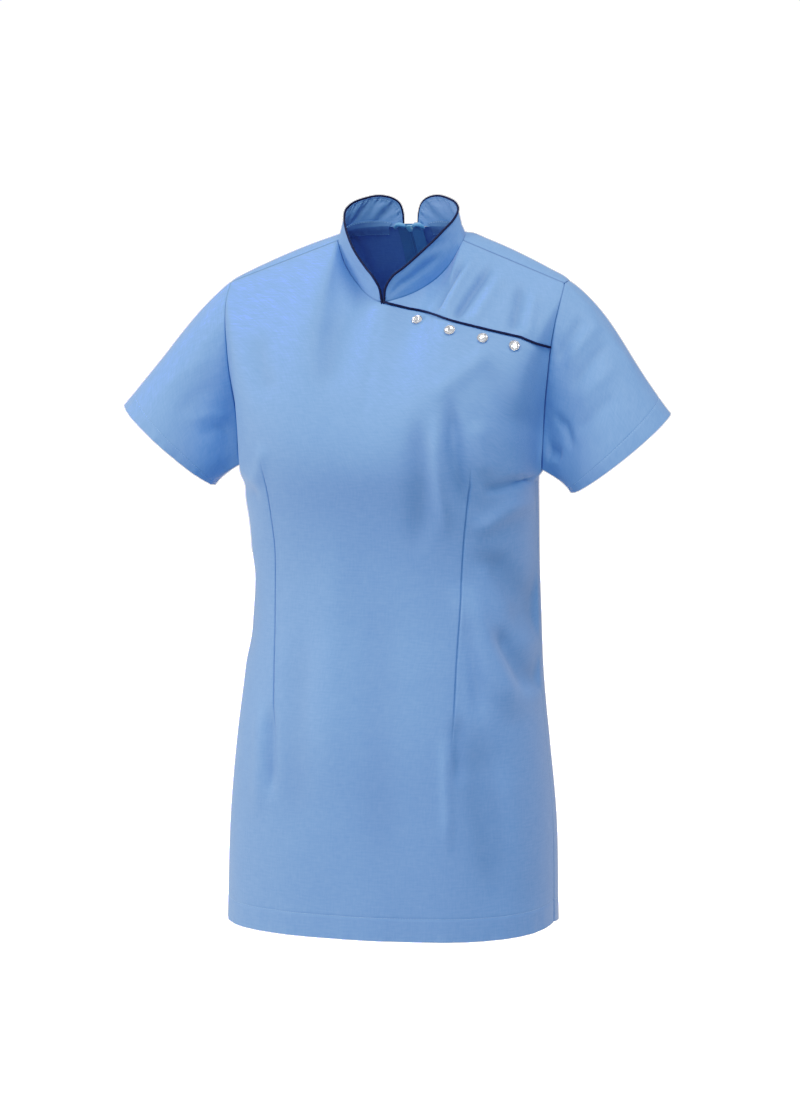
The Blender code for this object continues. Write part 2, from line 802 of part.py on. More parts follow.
def make_slider(finish):
    frame = zip_frame()
    inner = TAPE_CLOTH / 2 + LAY_GAP
    outer = inner + SLIDER_PLATE
    half_height = SLIDER_HEIGHT / 2
    wide = SLIDER_HALF_WIDTH
    post = SLIDER_POST_HALF_WIDTH
    mesh = box_mesh((-wide, inner, -half_height), (wide, outer, half_height))
    piece = place(mesh, "zip_slider", finish)
    piece.matrix_world = frame
    rear = box_mesh((-wide, -outer, -half_height), (wide, -inner, half_height))
    combine(piece, tool(rear, frame, "slider_rear_plate"), "UNION")
    deep = outer - SLIDER_SINK
    high = half_height - SLIDER_SINK
    middle = box_mesh((-post, -deep, -high), (post, deep, high))
    combine(piece, tool(middle, frame, "slider_post"), "UNION")
    lug_inner = PULL_EYE_HALF_WIDTH + LAY_GAP
    for sign in (-1, 1):
        ends = sorted((sign * lug_inner, sign * (lug_inner + LUG_WIDTH)))
        low = (ends[0], outer - SLIDER_SINK, -LUG_HALF_HEIGHT)
        lug = box_mesh(low, (ends[1], outer + LUG_REACH, LUG_HALF_HEIGHT))
        combine(piece, tool(lug, frame, "slider_lug"), "UNION")
    return frame


def pull_axis(frame):
    reach = TAPE_CLOTH / 2 + LAY_GAP + SLIDER_PLATE + PULL_EYE_RADIUS + LAY_GAP
    return frame @ Vector((0.0, reach, 0.0))


def make_pull(frame, finish):
    # The pull tab hangs from its eye between the slider's lugs and lies along the back
    hang = frame.copy()
    hang.translation = pull_axis(frame)
    piece = place(bar_mesh(PULL_EYE_RADIUS, PULL_EYE_HALF_WIDTH, 14), "zip_pull", finish)
    piece.matrix_world = hang
    half = PULL_THICKNESS / 2
    neck = box_mesh((-PULL_NECK_HALF_WIDTH, -half, -PULL_NECK_LENGTH), (PULL_NECK_HALF_WIDTH, half, 0.0))
    combine(piece, tool(neck, hang, "pull_neck"), "UNION")
    blade_top = -PULL_NECK_LENGTH + half
    blade = box_mesh((-PULL_HALF_WIDTH, -half, -PULL_LENGTH), (PULL_HALF_WIDTH, half, blade_top))
    combine(piece, tool(blade, hang, "pull_blade"), "UNION")


def main():
    for old in list(bpy.data.objects):
        bpy.data.objects.remove(old)
    for title in (NAME, "cutters"):
        bpy.context.scene.collection.children.link(bpy.data.collections.new(title))
    cloth = material("tunic cloth", CLOTH_BLUE, 0.85)
    navy = material("navy piping", NAVY, 0.8)
    tape = material("zip tape", TAPE_BLUE, 0.8)
    zip_metal = material("painted zip", ZIP_BLUE, 0.4)
    crystal = material("clear button", CRYSTAL, 0.1)

    make_front(cloth)
    make_yoke(cloth)
    for side_name, sign, drop in (
        ("left", 1, LEFT_SLEEVE_FRONT_DROP),
        ("right", -1, RIGHT_SLEEVE_FRONT_DROP),
    ):
        make_back(side_name, sign, cloth)
        make_sleeve(side_name, sign, drop, cloth)
        make_collar(side_name, sign, cloth)
        make_collar_piping(side_name, sign, navy)
        make_neck_tape(side_name, sign, cloth)
        make_zip_tape(side_name, sign, tape)
    make_zip_chain(tape)
    make_yoke_piping(navy)
    make_buttons(crystal)
    frame = make_slider(zip_metal)
    make_pull(frame, zip_metal)


main()
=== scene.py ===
import math

import bpy
import bmesh
import numpy as np
from mathutils import Matrix, Vector


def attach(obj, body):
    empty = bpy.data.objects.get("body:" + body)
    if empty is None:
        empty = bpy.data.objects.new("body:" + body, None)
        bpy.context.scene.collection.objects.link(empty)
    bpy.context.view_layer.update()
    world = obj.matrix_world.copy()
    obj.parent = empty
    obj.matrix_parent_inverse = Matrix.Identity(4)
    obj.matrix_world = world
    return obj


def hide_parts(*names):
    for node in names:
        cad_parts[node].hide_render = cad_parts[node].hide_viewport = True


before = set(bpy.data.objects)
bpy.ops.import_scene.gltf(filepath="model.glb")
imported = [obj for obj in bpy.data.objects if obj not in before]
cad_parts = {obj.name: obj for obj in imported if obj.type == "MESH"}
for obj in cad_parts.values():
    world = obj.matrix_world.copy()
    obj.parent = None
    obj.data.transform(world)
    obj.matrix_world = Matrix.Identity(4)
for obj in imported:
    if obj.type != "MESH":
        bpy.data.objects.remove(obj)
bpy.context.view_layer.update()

# The front is one piece of polycotton from side seam to side seam, cut away along a slanted
# seam at the wearer's upper left. Two long darts shape its waist and a short one lies below
# each armhole. Its hem is turned up and stitched, and it is sewn to every piece around it.
BASE_Z = -0.250
HEM_Z = -0.718
HEM_DEPTH = 0.024
HEM_SIDE_LIFT = 0.006
VENT_TOP_Z = -0.585
VENT_SHARE = 0.004
CLOTH = 0.0005
HEM_CLOTH = 0.0011
SEAM_SINK = 0.0006
SEAM_WIDTH = 0.0010
# Painted shade: the darkest along a seam, then the trough depth that gets the full shade in a fold, and
# that shade
SEAM_SHADE = 0.9
FOLD_DEPTH = 0.0050
FOLD_SHADE = 0.19

# Height, half width, y of the side seam, depth in front of it, depth behind it
BODY_SECTIONS = (
    (-0.718, 0.1765, -0.0250, 0.130, 0.128),
    (-0.600, 0.1730, -0.0210, 0.132, 0.122),
    (-0.520, 0.1655, -0.0210, 0.129, 0.115),
    (-0.450, 0.1585, -0.0165, 0.122, 0.099),
    (-0.390, 0.1552, -0.0105, 0.117, 0.083),
    (-0.330, 0.1535, -0.0120, 0.113, 0.082),
    (-0.290, 0.1545, -0.0200, 0.111, 0.092),
    (-0.250, 0.1575, -0.0380, 0.104, 0.114),
)
FRONT_ROUNDNESS = 2.4
BACK_ROUNDNESS = 2.2

# Neck seam: x, y, z from the front notch past the side neck to the centre back
NECK_SEAM = (
    (0.0000, -0.0625, -0.0640),
    (0.0080, -0.0595, -0.0620),
    (0.0190, -0.0490, -0.0580),
    (0.0295, -0.0375, -0.0525),
    (0.0390, -0.0265, -0.0455),
    (0.0485, -0.0185, -0.0365),
    (0.0570, -0.0120, -0.0255),
    (0.0635, -0.0065, -0.0130),
    (0.0685, 0.0000, 0.0000),
    (0.0665, 0.0145, 0.0080),
    (0.0530, 0.0270, 0.0120),
    (0.0300, 0.0345, 0.0140),
    (0.0000, 0.0370, 0.0145),
)
SIDE_NECK = 8 / 12

# Armhole: x, y, z from the underarm up to the shoulder tip, in front and behind
ARMHOLE_FRONT = (
    (0.1650, -0.0400, -0.2365),
    (0.1665, -0.0440, -0.2180),
    (0.1675, -0.0430, -0.1960),
    (0.1690, -0.0445, -0.1760),
    (0.1715, -0.0480, -0.1560),
    (0.1745, -0.0505, -0.1320),
    (0.1770, -0.0495, -0.1080),
    (0.1800, -0.0450, -0.0850),
    (0.1825, -0.0340, -0.0630),
    (0.1830, -0.0165, -0.0440),
)
ARMHOLE_BACK = (
    (0.1650, -0.0400, -0.2365),
    (0.1655, -0.0180, -0.2330),
    (0.1660, 0.0080, -0.2180),
    (0.1665, 0.0280, -0.1920),
    (0.1680, 0.0390, -0.1600),
    (0.1710, 0.0420, -0.1250),
    (0.1760, 0.0375, -0.0880),
    (0.1808, 0.0235, -0.0580),
    (0.1830, 0.0035, -0.0425),
    (0.1830, -0.0165, -0.0440),
)
NECK_SHARE = 0.31
TIP_SHARE = 0.60
CORNER_FADE = 0.16
BACK_CORNER_FADE = 0.20
BACK_RUN_EXTRA = 0.3

# Way the cloth runs into its top edge: share of the half width, then x, y, z
FRONT_RUN = (
    (0.00, 0.00, 0.50, 0.87),
    (0.31, 0.05, 0.80, 0.60),
    (0.60, 0.25, 0.75, 0.60),
    (0.80, 0.45, 0.45, 0.77),
    (1.00, 0.35, 0.00, 0.94),
)
BACK_RUN = (
    (0.00, 0.00, -0.75, 0.66),
    (0.16, 0.00, -0.84, 0.30),
    (0.31, 0.00, -0.88, -0.47),
    (0.60, 0.05, -0.90, -0.40),
    (0.80, 0.35, -0.35, 0.87),
    (1.00, 0.35, 0.00, 0.94),
)

# Slanted seam seen from the front: x, z from the notch to the armhole
SLANT_SEAM = (
    (0.0000, -0.0640),
    (0.0260, -0.0710),
    (0.0610, -0.0772),
    (0.0820, -0.0830),
    (0.1200, -0.0920),
    (0.1510, -0.0990),
    (0.1768, -0.1100),
)
SLANT_END = 1 - 0.657 * (1 - TIP_SHARE)

# Long darts: height, x of the wearer's left one, x of the right one
DARTS = (
    (-0.520, 0.0965, 0.0980),
    (-0.480, 0.0964, 0.1003),
    (-0.430, 0.0962, 0.1030),
    (-0.360, 0.0975, 0.1053),
    (-0.320, 0.0998, 0.1052),
    (-0.285, 0.1042, 0.1075),
    (-0.260, 0.1094, 0.1088),
    (-0.235, 0.1145, 0.1120),
)
DART_SHARE = 0.44
FRONT_DART_ENDS = (-0.530, 0.06, -0.225, 0.03)
DART_SINK = 0.0011
DART_WIDTH = 0.0009
DART_PULL = 0.35
DART_PULL_WIDTH = 0.005
DART_RIDGE = 0.0006
# Painted shade in the groove of a dart
DART_SHADE = 0.5
HEM_GROOVE = 0.00035
HEM_GROOVE_WIDTH = 0.0011

# Soft creases of the front: width, how deep it sinks, then x, z along it
FRONT_CREASES = (
    (0.0115, 0.0052, (0.063, -0.165), (0.063, -0.243), (0.055, -0.330)),
    (0.0080, 0.0074, (0.092, -0.152), (0.099, -0.225), (0.107, -0.286)),
    (0.0070, -0.0044, (0.079, -0.170), (0.083, -0.245), (0.086, -0.310)),
    (0.0090, -0.0036, (0.118, -0.178), (0.122, -0.215), (0.128, -0.246)),
    (0.0055, 0.0044, (0.120, -0.254), (0.141, -0.250), (0.160, -0.244)),
    (0.0014, 0.0014, (0.148, -0.249), (0.155, -0.246), (0.161, -0.242)),
    (0.0012, 0.0011, (0.153, -0.238), (0.156, -0.245), (0.157, -0.252)),
    (0.0085, -0.0048, (0.106, -0.302), (0.132, -0.283), (0.158, -0.262)),
    (0.0110, 0.0074, (0.102, -0.318), (0.130, -0.332), (0.149, -0.371), (0.157, -0.420)),
    (0.0125, -0.0105, (0.096, -0.345), (0.112, -0.395), (0.131, -0.445), (0.154, -0.500)),
    (0.0080, 0.0085, (0.126, -0.392), (0.145, -0.432), (0.162, -0.474)),
    (0.0060, 0.0040, (0.100, -0.360), (0.112, -0.430), (0.122, -0.500)),
    (0.0065, 0.0046, (0.099, -0.480), (0.102, -0.512), (0.105, -0.560)),
    (0.0060, -0.0040, (0.089, -0.500), (0.092, -0.560), (0.095, -0.630)),
    (0.0200, 0.0075, (0.110, -0.484), (0.130, -0.577), (0.152, -0.700)),
    (0.0120, -0.0040, (0.136, -0.520), (0.150, -0.600), (0.158, -0.690)),
    (0.0065, 0.0042, (-0.104, -0.476), (-0.101, -0.520), (-0.099, -0.580)),
    (0.0090, -0.0030, (-0.118, -0.470), (-0.116, -0.540), (-0.118, -0.610)),
    (0.0120, 0.0026, (-0.053, -0.073), (-0.047, -0.105), (-0.038, -0.155)),
    (0.0110, -0.0036, (0.064, -0.166), (0.100, -0.136), (0.132, -0.106)),
    (0.0130, 0.0030, (-0.136, -0.092), (-0.124, -0.130), (-0.102, -0.166)),
    (0.0080, -0.0026, (-0.108, -0.206), (-0.116, -0.235), (-0.134, -0.266)),
    (0.0100, 0.0034, (-0.160, -0.248), (-0.140, -0.262), (-0.116, -0.262)),
    (0.0150, 0.0034, (-0.153, -0.320), (-0.145, -0.395), (-0.150, -0.450)),
    (0.0220, -0.0030, (-0.030, -0.270), (-0.034, -0.430), (-0.026, -0.580)),
    (0.0260, 0.0034, (0.016, -0.330), (0.024, -0.500), (0.030, -0.690)),
    (0.0200, 0.0030, (-0.070, -0.380), (-0.072, -0.480), (-0.068, -0.640)),
    (0.0100, 0.0026, (0.120, -0.120), (0.140, -0.160), (0.160, -0.205)),
)


def unit(vectors):
    return vectors / np.maximum(np.linalg.norm(vectors, axis=-1, keepdims=True), 1e-12)


def bell(distance, width):
    return np.exp(-((distance / width) ** 2))


def eased_step(value):
    # From 0 to 1, starting and ending softly
    value = np.clip(value, 0, 1)
    return value * value * (3 - 2 * value)


def mirrored(points, side):
    # Points on the wearer's left carried over to the side named by +1 or -1, or by a sign each
    return np.stack([points[..., 0] * side, points[..., 1], points[..., 2]], axis=-1)


def hermite(start, start_slope, end, end_slope, t):
    return (
        (2 * t**3 - 3 * t**2 + 1) * start
        + (t**3 - 2 * t**2 + t) * start_slope
        + (3 * t**2 - 2 * t**3) * end
        + (t**3 - t**2) * end_slope
    )


def curve_at(rows, share):
    # A smooth curve through the rows, which are taken as evenly spaced
    points = np.array(rows, dtype=float)
    place = np.clip(share, 0, 1) * (len(points) - 1)
    index = np.minimum(place.astype(int), len(points) - 2)
    slopes = np.gradient(points, axis=0)
    step = (place - index)[..., None]
    return hermite(points[index], slopes[index], points[index + 1], slopes[index + 1], step)


def row_at(rows, key):
    # A row of a table, blended smoothly between its neighbours by the first column
    table = np.array(rows, dtype=float)
    keys, values = table[:, 0], table[:, 1:]
    slopes = np.gradient(values, keys, axis=0)
    key = np.clip(key, keys[0], keys[-1])
    index = np.clip(np.searchsorted(keys, key, side="right") - 1, 0, len(keys) - 2)
    span = (keys[index + 1] - keys[index])[..., None]
    step = (key - keys[index])[..., None] / span
    return hermite(values[index], slopes[index] * span, values[index + 1], slopes[index + 1] * span, step)


def section_point(side, share, z):
    # side is -1 in front and 1 behind; share runs from -1 to 1 between the side seams
    half_width, seam_y, front_depth, back_depth = np.moveaxis(row_at(BODY_SECTIONS, z), -1, 0)
    depth = front_depth if side < 0 else back_depth
    roundness = FRONT_ROUNDNESS if side < 0 else BACK_ROUNDNESS
    across = np.sin(share * math.pi / 2)
    out = np.maximum(1 - np.abs(across) ** roundness, 0) ** (1 / roundness)
    return np.stack([half_width * across, seam_y + side * depth * out, z + 0 * share], axis=-1)


def top_edge(side, share):
    # The neck seam, then the shoulder seam, then the armhole
    reach = np.minimum(np.abs(share), 1.0)
    start = 0.0 if side < 0 else 1.0
    neck = curve_at(NECK_SEAM, start + (SIDE_NECK - start) * np.minimum(reach / NECK_SHARE, 1))
    along = ((reach - NECK_SHARE) / (TIP_SHARE - NECK_SHARE))[..., None]
    armhole = ARMHOLE_FRONT if side < 0 else ARMHOLE_BACK
    shoulder = np.array(NECK_SEAM[8]) * (1 - along) + np.array(armhole[-1]) * along
    arm = curve_at(armhole, (1 - reach) / (1 - TIP_SHARE))
    point = np.where((reach <= NECK_SHARE)[..., None], neck, shoulder)
    point = np.where((reach > TIP_SHARE)[..., None], arm, point)
    return mirrored(point, np.where(share >= 0, 1.0, -1.0))


def body_point(side, share, level):
    # level runs from 0 at the hem to 1 below the bust, and to 2 at the top edge
    share, level = np.broadcast_arrays(np.asarray(share, float), np.asarray(level, float))
    low = np.minimum(level, 1)
    lift = HEM_SIDE_LIFT * share**4 * (1 - low) ** 3
    below = section_point(side, share, HEM_Z + (BASE_Z - HEM_Z) * low + lift)
    foot = section_point(side, share, BASE_Z + 0 * share)
    rise = (foot - section_point(side, share, BASE_Z - 0.01 + 0 * share)) / 0.01
    # The corners of the top edge fade away down the panel
    fade = np.clip(2 - level, 0, 1)
    spread = CORNER_FADE * fade if side < 0 else BACK_CORNER_FADE * fade**0.6
    spread = np.minimum(spread, 1 - np.abs(share))
    top = np.mean([top_edge(side, share + spread * step / 3) for step in range(-3, 4)], axis=0)
    run = row_at(FRONT_RUN if side < 0 else BACK_RUN, np.abs(share))
    run = unit(mirrored(run, np.where(share >= 0, 1.0, -1.0)))
    length = np.linalg.norm(top - foot, axis=-1, keepdims=True)
    stretch = (1.0 if side < 0 else 1 + BACK_RUN_EXTRA * (1 - np.abs(share)))
    stretch = np.broadcast_to(stretch, share.shape)[..., None]
    step = np.clip(level - 1, 0, 1)[..., None]
    above = hermite(foot, unit(rise) * length, top, run * length * stretch, step)
    return np.where((level <= 1)[..., None], below, above)


def vented(share, level):
    # Below the vent's top the side edges draw back from each other
    z = HEM_Z + (BASE_Z - HEM_Z) * level
    open_share = np.maximum(VENT_TOP_Z - z, 0) / (VENT_TOP_Z - HEM_Z)
    return share * (1 - VENT_SHARE * open_share)


def slant_level(share):
    # The level where the slanted seam crosses the front at this share
    low, high = np.ones_like(share), np.full_like(share, 2.0)
    for _ in range(30):
        middle = (low + high) / 2
        point = body_point(-1, share, middle)
        seam_z = np.interp(point[..., 0], [row[0] for row in SLANT_SEAM], [row[1] for row in SLANT_SEAM])
        under = point[..., 2] < seam_z
        low, high = np.where(under, middle, low), np.where(under, high, middle)
    return np.where((share <= 0) | (share > SLANT_END - 1e-9), 2.0, (low + high) / 2)


def normals_of(grid, facing):
    # facing is 1 or -1, as the grid's columns run to one side or the other
    along = np.gradient(grid, axis=1)
    up = np.gradient(grid, axis=0)
    return unit(np.cross(along, up)) * facing


def faced(grid, row, column, way):
    # Which way round the faces go so that the grid looks toward way at one point, and its normals
    facing = 1.0 if normals_of(grid, 1.0)[row, column] @ np.asarray(way) > 0 else -1.0
    return facing, normals_of(grid, facing)


def runs_along(grid, axis):
    # Distance along the cloth from its first row or column
    steps = np.linalg.norm(np.diff(grid, axis=axis), axis=-1)
    start = np.zeros_like(np.take(steps, [0], axis=axis))
    return np.concatenate((start, np.cumsum(steps, axis=axis)), axis=axis)


# Painted shade along a seam, darker where the cloth sinks deeper into it
def seam_shade(sink):
    return np.clip(-sink / SEAM_SINK, 0, 1) ** 1.5 * SEAM_SHADE


def fold_shade(relief):
    # Painted shade: a trough between folds is coloured a little darker than the cloth around it
    return np.clip(-relief / FOLD_DEPTH, 0, 1) * FOLD_SHADE


def from_edges(grid):
    # Distance of each point from the left, right, bottom and top edge of its grid
    across, up = runs_along(grid, 1), runs_along(grid, 0)
    return across, across[:, -1:] - across, up, up[-1:] - up


def seam_sink(grid, *strengths):
    # Along a seam the cloth rolls in to meet its neighbour
    depths = [share * bell(distance, SEAM_WIDTH) for share, distance in zip(strengths, from_edges(grid))]
    return -SEAM_SINK * np.max(depths, axis=0)


def held(grid, *sewn, reach=0.007):
    # 0 along the edges that are sewn down and 1 away from them
    free = np.ones(grid.shape[:2])
    for fixed, distance in zip(sewn, from_edges(grid)):
        free = free * (1 - fixed * bell(distance, reach))
    return free


def creases(flat, rows):
    # Sum of soft troughs beside lines drawn on the flat coordinates, faded at their ends
    total = np.zeros(flat.shape[:2])
    for width, sink, *marks in rows:
        line = np.array(marks, dtype=float)
        lengths = np.linalg.norm(np.diff(line, axis=0), axis=1)
        nearest = np.full(flat.shape[:2], 1e9)
        share_along = np.zeros(flat.shape[:2])
        for index, length in enumerate(lengths):
            way = (line[index + 1] - line[index]) / length
            along = np.clip((flat - line[index]) @ way, 0, length)
            distance = np.linalg.norm(flat - line[index] - along[..., None] * way, axis=-1)
            closer = distance < nearest
            nearest = np.where(closer, distance, nearest)
            share_along = np.where(closer, (lengths[:index].sum() + along) / lengths.sum(), share_along)
        fade = np.clip(share_along / 0.3, 0, 1) * np.clip((1 - share_along) / 0.3, 0, 1)
        total -= sink * bell(nearest, width) * eased_step(fade)
    return total


def ripple(run, waves):
    # Uneven waviness along a run, from waves of length, height and start
    return sum(height * np.sin(2 * math.pi * run / length + start) for length, height, start in waves)


def new_piece(name, data):
    piece = bpy.data.objects.new(name, data)
    bpy.context.scene.collection.objects.link(piece)
    return piece


def smooth_mesh(name, verts, faces):
    mesh = bpy.data.meshes.new(name)
    mesh.from_pydata([tuple(vert) for vert in verts], [], faces)
    mesh.shade_smooth()
    return mesh


def closed_mesh(name, verts, faces):
    # A smooth mesh whose faces all look outward
    mesh = smooth_mesh(name, verts, faces)
    shape = bmesh.new()
    shape.from_mesh(mesh)
    bmesh.ops.recalc_face_normals(shape, faces=shape.faces)
    shape.to_mesh(mesh)
    shape.free()
    return mesh


def shell(name, outer, facing, thick=CLOTH, inner_shift=0.0, painted_shade=0.0, inner_painted_shade=0.0):
    # A closed thin shell of cloth: its outer face, its inner face and the rim between them
    rows, columns = outer.shape[:2]
    inward = -normals_of(outer, facing)
    inner = outer + inward * (np.broadcast_to(thick, (rows, columns)) + inner_shift)[..., None]
    number = np.arange(rows * columns).reshape(rows, columns)
    quads = np.stack([number[:-1, :-1], number[:-1, 1:], number[1:, 1:], number[1:, :-1]], axis=-1)
    quads = quads.reshape(-1, 4)
    if facing < 0:
        quads = quads[:, ::-1]
    border = np.concatenate((number[0, :-1], number[:-1, -1], number[-1, :0:-1], number[:0:-1, 0]))
    after = np.roll(border, -1)
    size = rows * columns
    rim = np.stack([border, border + size, after + size, after], axis=-1)
    if facing < 0:
        rim = rim[:, ::-1]
    faces = np.concatenate((quads, quads[:, ::-1] + size, rim))
    mesh = bpy.data.meshes.new(name)
    verts = np.concatenate((outer.reshape(-1, 3), inner.reshape(-1, 3)))
    mesh.from_pydata(verts.tolist(), [], faces.tolist())
    flat = np.stack([runs_along(outer, 1), runs_along(outer, 0)], axis=-1).reshape(-1, 2)
    flat = np.concatenate((flat, flat))
    corners = np.empty(len(mesh.loops), dtype=np.int32)
    mesh.loops.foreach_get("vertex_index", corners)
    mesh.uv_layers.new(name="cloth").data.foreach_set("uv", flat[corners].ravel().astype(np.float32))
    # Painted shade: how far each point lies in shade, in a seam, a dart groove or a fold trough on the
    # outer face, or inside the garment on the inner face, for the darker colour painted there
    shades = np.concatenate([np.broadcast_to(value, (rows, columns)).ravel() for value in (painted_shade, inner_painted_shade)])
    mesh.attributes.new("seam", "FLOAT", "POINT").data.foreach_set("value", shades.astype(np.float32))
    mesh.shade_smooth()
    mesh.set_sharp_from_angle(angle=math.radians(50))
    return new_piece(name, mesh)


class Shade:
    # A socket of a material, whose sums are written as Python sums

    def __init__(self, tree, socket=None):
        self.tree = tree
        self.socket = socket

    def node(self, kind, settings, inputs, output=0):
        made = self.tree.nodes.new(kind)
        for name, value in settings.items():
            setattr(made, name, value)
        for name, value in inputs.items():
            if isinstance(value, Shade):
                self.tree.links.new(value.socket, made.inputs[name])
            else:
                made.inputs[name].default_value = value
        return Shade(self.tree, made.outputs[output])

    def maths(self, operation, *values):
        return self.node("ShaderNodeMath", {"operation": operation}, dict(enumerate(values)))

    def mix(self, factor, first, second):
        return self.node("ShaderNodeMix", {"data_type": "RGBA"}, {0: factor, 6: first, 7: second}, 2)

    def __add__(self, other):
        return self.maths("ADD", self, other)

    def __sub__(self, other):
        return self.maths("SUBTRACT", self, other)

    def __rsub__(self, other):
        return self.maths("SUBTRACT", other, self)

    def __mul__(self, other):
        return self.maths("MULTIPLY", self, other)

    __radd__ = __add__
    __rmul__ = __mul__


def finish(name, fixed):
    # A new material with its fixed values set on the shader itself
    made = bpy.data.materials.new(name)
    made.use_nodes = True
    shader = made.node_tree.nodes["Principled BSDF"]
    for socket, value in fixed.items():
        shader.inputs[socket].default_value = value
    return made, shader, Shade(made.node_tree)


def link(shade, shader, socket):
    shade.tree.links.new(shade.socket, shader.inputs[socket])


def woven(name, light, dark, thread, bump, fixed):
    # Plain weave: threads over and under each other, with uneven yarn and a faint mottle
    made, shader, start = finish(name, fixed)
    flat = start.node("ShaderNodeUVMap", {"uv_map": "cloth"}, {})
    across = start.node("ShaderNodeSeparateXYZ", {}, {0: flat}, 0)
    up = start.node("ShaderNodeSeparateXYZ", {}, {0: flat}, 1)
    turn = math.pi / thread
    weave = start.maths("SINE", across * turn) * start.maths("SINE", up * turn)

    def uneven(by_width, by_length, detail):
        # Noise stretched along the threads, by its repeats in a metre each way
        place = start.node("ShaderNodeCombineXYZ", {}, {0: across * by_width, 1: up * by_length})
        return start.node("ShaderNodeTexNoise", {}, {"Vector": place, "Scale": 1.0, "Detail": detail})

    yarn, pick = uneven(1400, 40, 1.0), uneven(40, 1400, 1.0)
    slub, cross_slub = uneven(520, 90, 2.0), uneven(90, 520, 2.0)
    mottle = start.node("ShaderNodeTexNoise", {}, {"Vector": flat, "Scale": 55.0, "Detail": 3.0})
    height = weave * 0.35 + yarn + pick
    factor = slub * 0.7 + cross_slub * 0.8 + mottle * 0.3 + yarn * 0.2 + pick * 0.2 + weave * 0.08 - 0.6
    # The mesh's seam attribute mixes a darker colour into the weave as painted shade, where the cloth lies
    # in a seam, a fold trough or the shade inside
    seam = start.node("ShaderNodeAttribute", {"attribute_name": "seam"}, {}, 2)
    painted_shade_colour = tuple(value * 0.42 for value in dark[:3]) + (1.0,)
    link(start.mix(seam, start.mix(factor, dark, light), painted_shade_colour), shader, "Base Color")
    relief = start.node("ShaderNodeBump", {}, {"Strength": bump, "Distance": 0.0002, "Height": height})
    link(relief, shader, "Normal")
    return made


def dress(piece, material, slot, *nodes, body="tunic"):
    piece.data.materials.append(material)
    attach(piece, body)
    if nodes:
        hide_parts(*nodes)
    return piece


def along_line(values, runs, wanted):
    # The values at a distance, or at several, along a line of points
    return np.stack([np.interp(wanted, runs, values[:, axis]) for axis in range(3)], axis=-1)


def stitches(name, points, outward, length=0.0021, gap=0.0007, radius=0.00022):
    # A run of stitches: each is a short rounded bead of thread lying on the cloth
    runs = runs_along(points, 0)
    verts, faces = [], []
    for start in np.arange(gap, runs[-1] - length, length + gap):
        ends = [along_line(points, runs, start + step) for step in (0.0, length)]
        up = unit(along_line(outward, runs, start))
        along = unit(ends[1] - ends[0])
        side = np.cross(up, along)
        base = len(verts)
        verts.append(ends[0] - up * radius * 0.4)
        for share, swell in ((0.18, 0.85), (0.5, 1.0), (0.82, 0.85)):
            middle = ends[0] + (ends[1] - ends[0]) * share + up * radius * 0.35
            for turn in range(5):
                angle = turn * 2 * math.pi / 5
                ring = side * math.cos(angle) + up * math.sin(angle)
                verts.append(middle + ring * radius * swell)
        verts.append(ends[1] - up * radius * 0.4)
        for turn in range(5):
            after = (turn + 1) % 5
            faces.append((base, base + 1 + after, base + 1 + turn))
            for ring in (0, 5):
                faces.append((base + 1 + ring + turn, base + 1 + ring + after,
                              base + 6 + ring + after, base + 6 + ring + turn))
            faces.append((base + 11 + turn, base + 11 + after, base + 16))
    return dress(new_piece(name, smooth_mesh(name, verts, faces)), thread, "cloth")


cloth = woven(
    "blue polycotton",
    (0.138, 0.273, 0.618, 1.0),
    (0.093, 0.213, 0.536, 1.0),
    0.00036,
    0.35,
    {"Roughness": 0.62, "Specular IOR Level": 0.30, "Sheen Weight": 0.10, "Sheen Roughness": 0.50},
)
thread = finish(
    "blue sewing thread",
    {"Base Color": (0.210, 0.400, 0.740, 1.0), "Roughness": 0.55, "Sheen Weight": 0.2},
)[0]

MILLIMETRE = 0.001
HALF_GIRTH = 0.30
SHARE_LENGTH = 0.24
TOP_RUN = 0.2
beside = np.array([-3.2, -2.0, -1.2, -0.6, 0.6, 1.2, 2.0, 3.2]) * MILLIMETRE / HALF_GIRTH
edges = np.array([0.5, 1.1, 1.9, 3.0, 4.6]) * MILLIMETRE / HALF_GIRTH
front_shares = np.concatenate((
    np.linspace(-1, 1, 161),
    DART_SHARE + beside, -DART_SHARE + beside, [DART_SHARE, -DART_SHARE],
    edges - 1, 1 - edges,
))
front_shares = np.unique(np.round(front_shares, 6))
drop = BASE_Z - HEM_Z
hem_marks = np.array([-3.0, -1.6, -0.8, 0.0, 0.8, 1.6, 3.0]) * MILLIMETRE
body_low = np.unique(np.round(np.concatenate((
    np.linspace(0, 1, 116), [0.0012, 0.0035], (HEM_DEPTH + hem_marks) / drop
)), 6))
top_marks = 1 - np.array([0.5, 1.1, 1.9, 3.0, 4.6]) * MILLIMETRE / TOP_RUN
body_high = np.unique(np.concatenate((np.linspace(0, 1, 66)[1:], top_marks)))
hem_row = int(np.argmin(np.abs(body_low - HEM_DEPTH / drop)))


def dart_share(sign, level):
    # The share at which a long dart runs, at each level
    z = np.clip(HEM_Z + drop * level, DARTS[0][0], DARTS[-1][0])
    x = row_at(DARTS, z)[..., 0 if sign > 0 else 1]
    half_width = row_at(BODY_SECTIONS, z)[..., 0]
    return np.arcsin(np.clip(x / half_width, 0, 1)) * 2 / math.pi


def dart_fade(grid, low, low_run, high, high_run):
    # A dart starts and ends softly, at two heights
    z = grid[..., 2]
    return np.clip((z - low) / low_run, 0, 1) * np.clip((high - z) / high_run, 0, 1)


def panel_levels(tops):
    # Levels of a panel's rows, from the hem to its own top edge
    low = np.repeat(body_low[:, None], len(tops), axis=1)
    return np.concatenate((low, 1 + (tops[None, :] - 1) * body_high[:, None]))


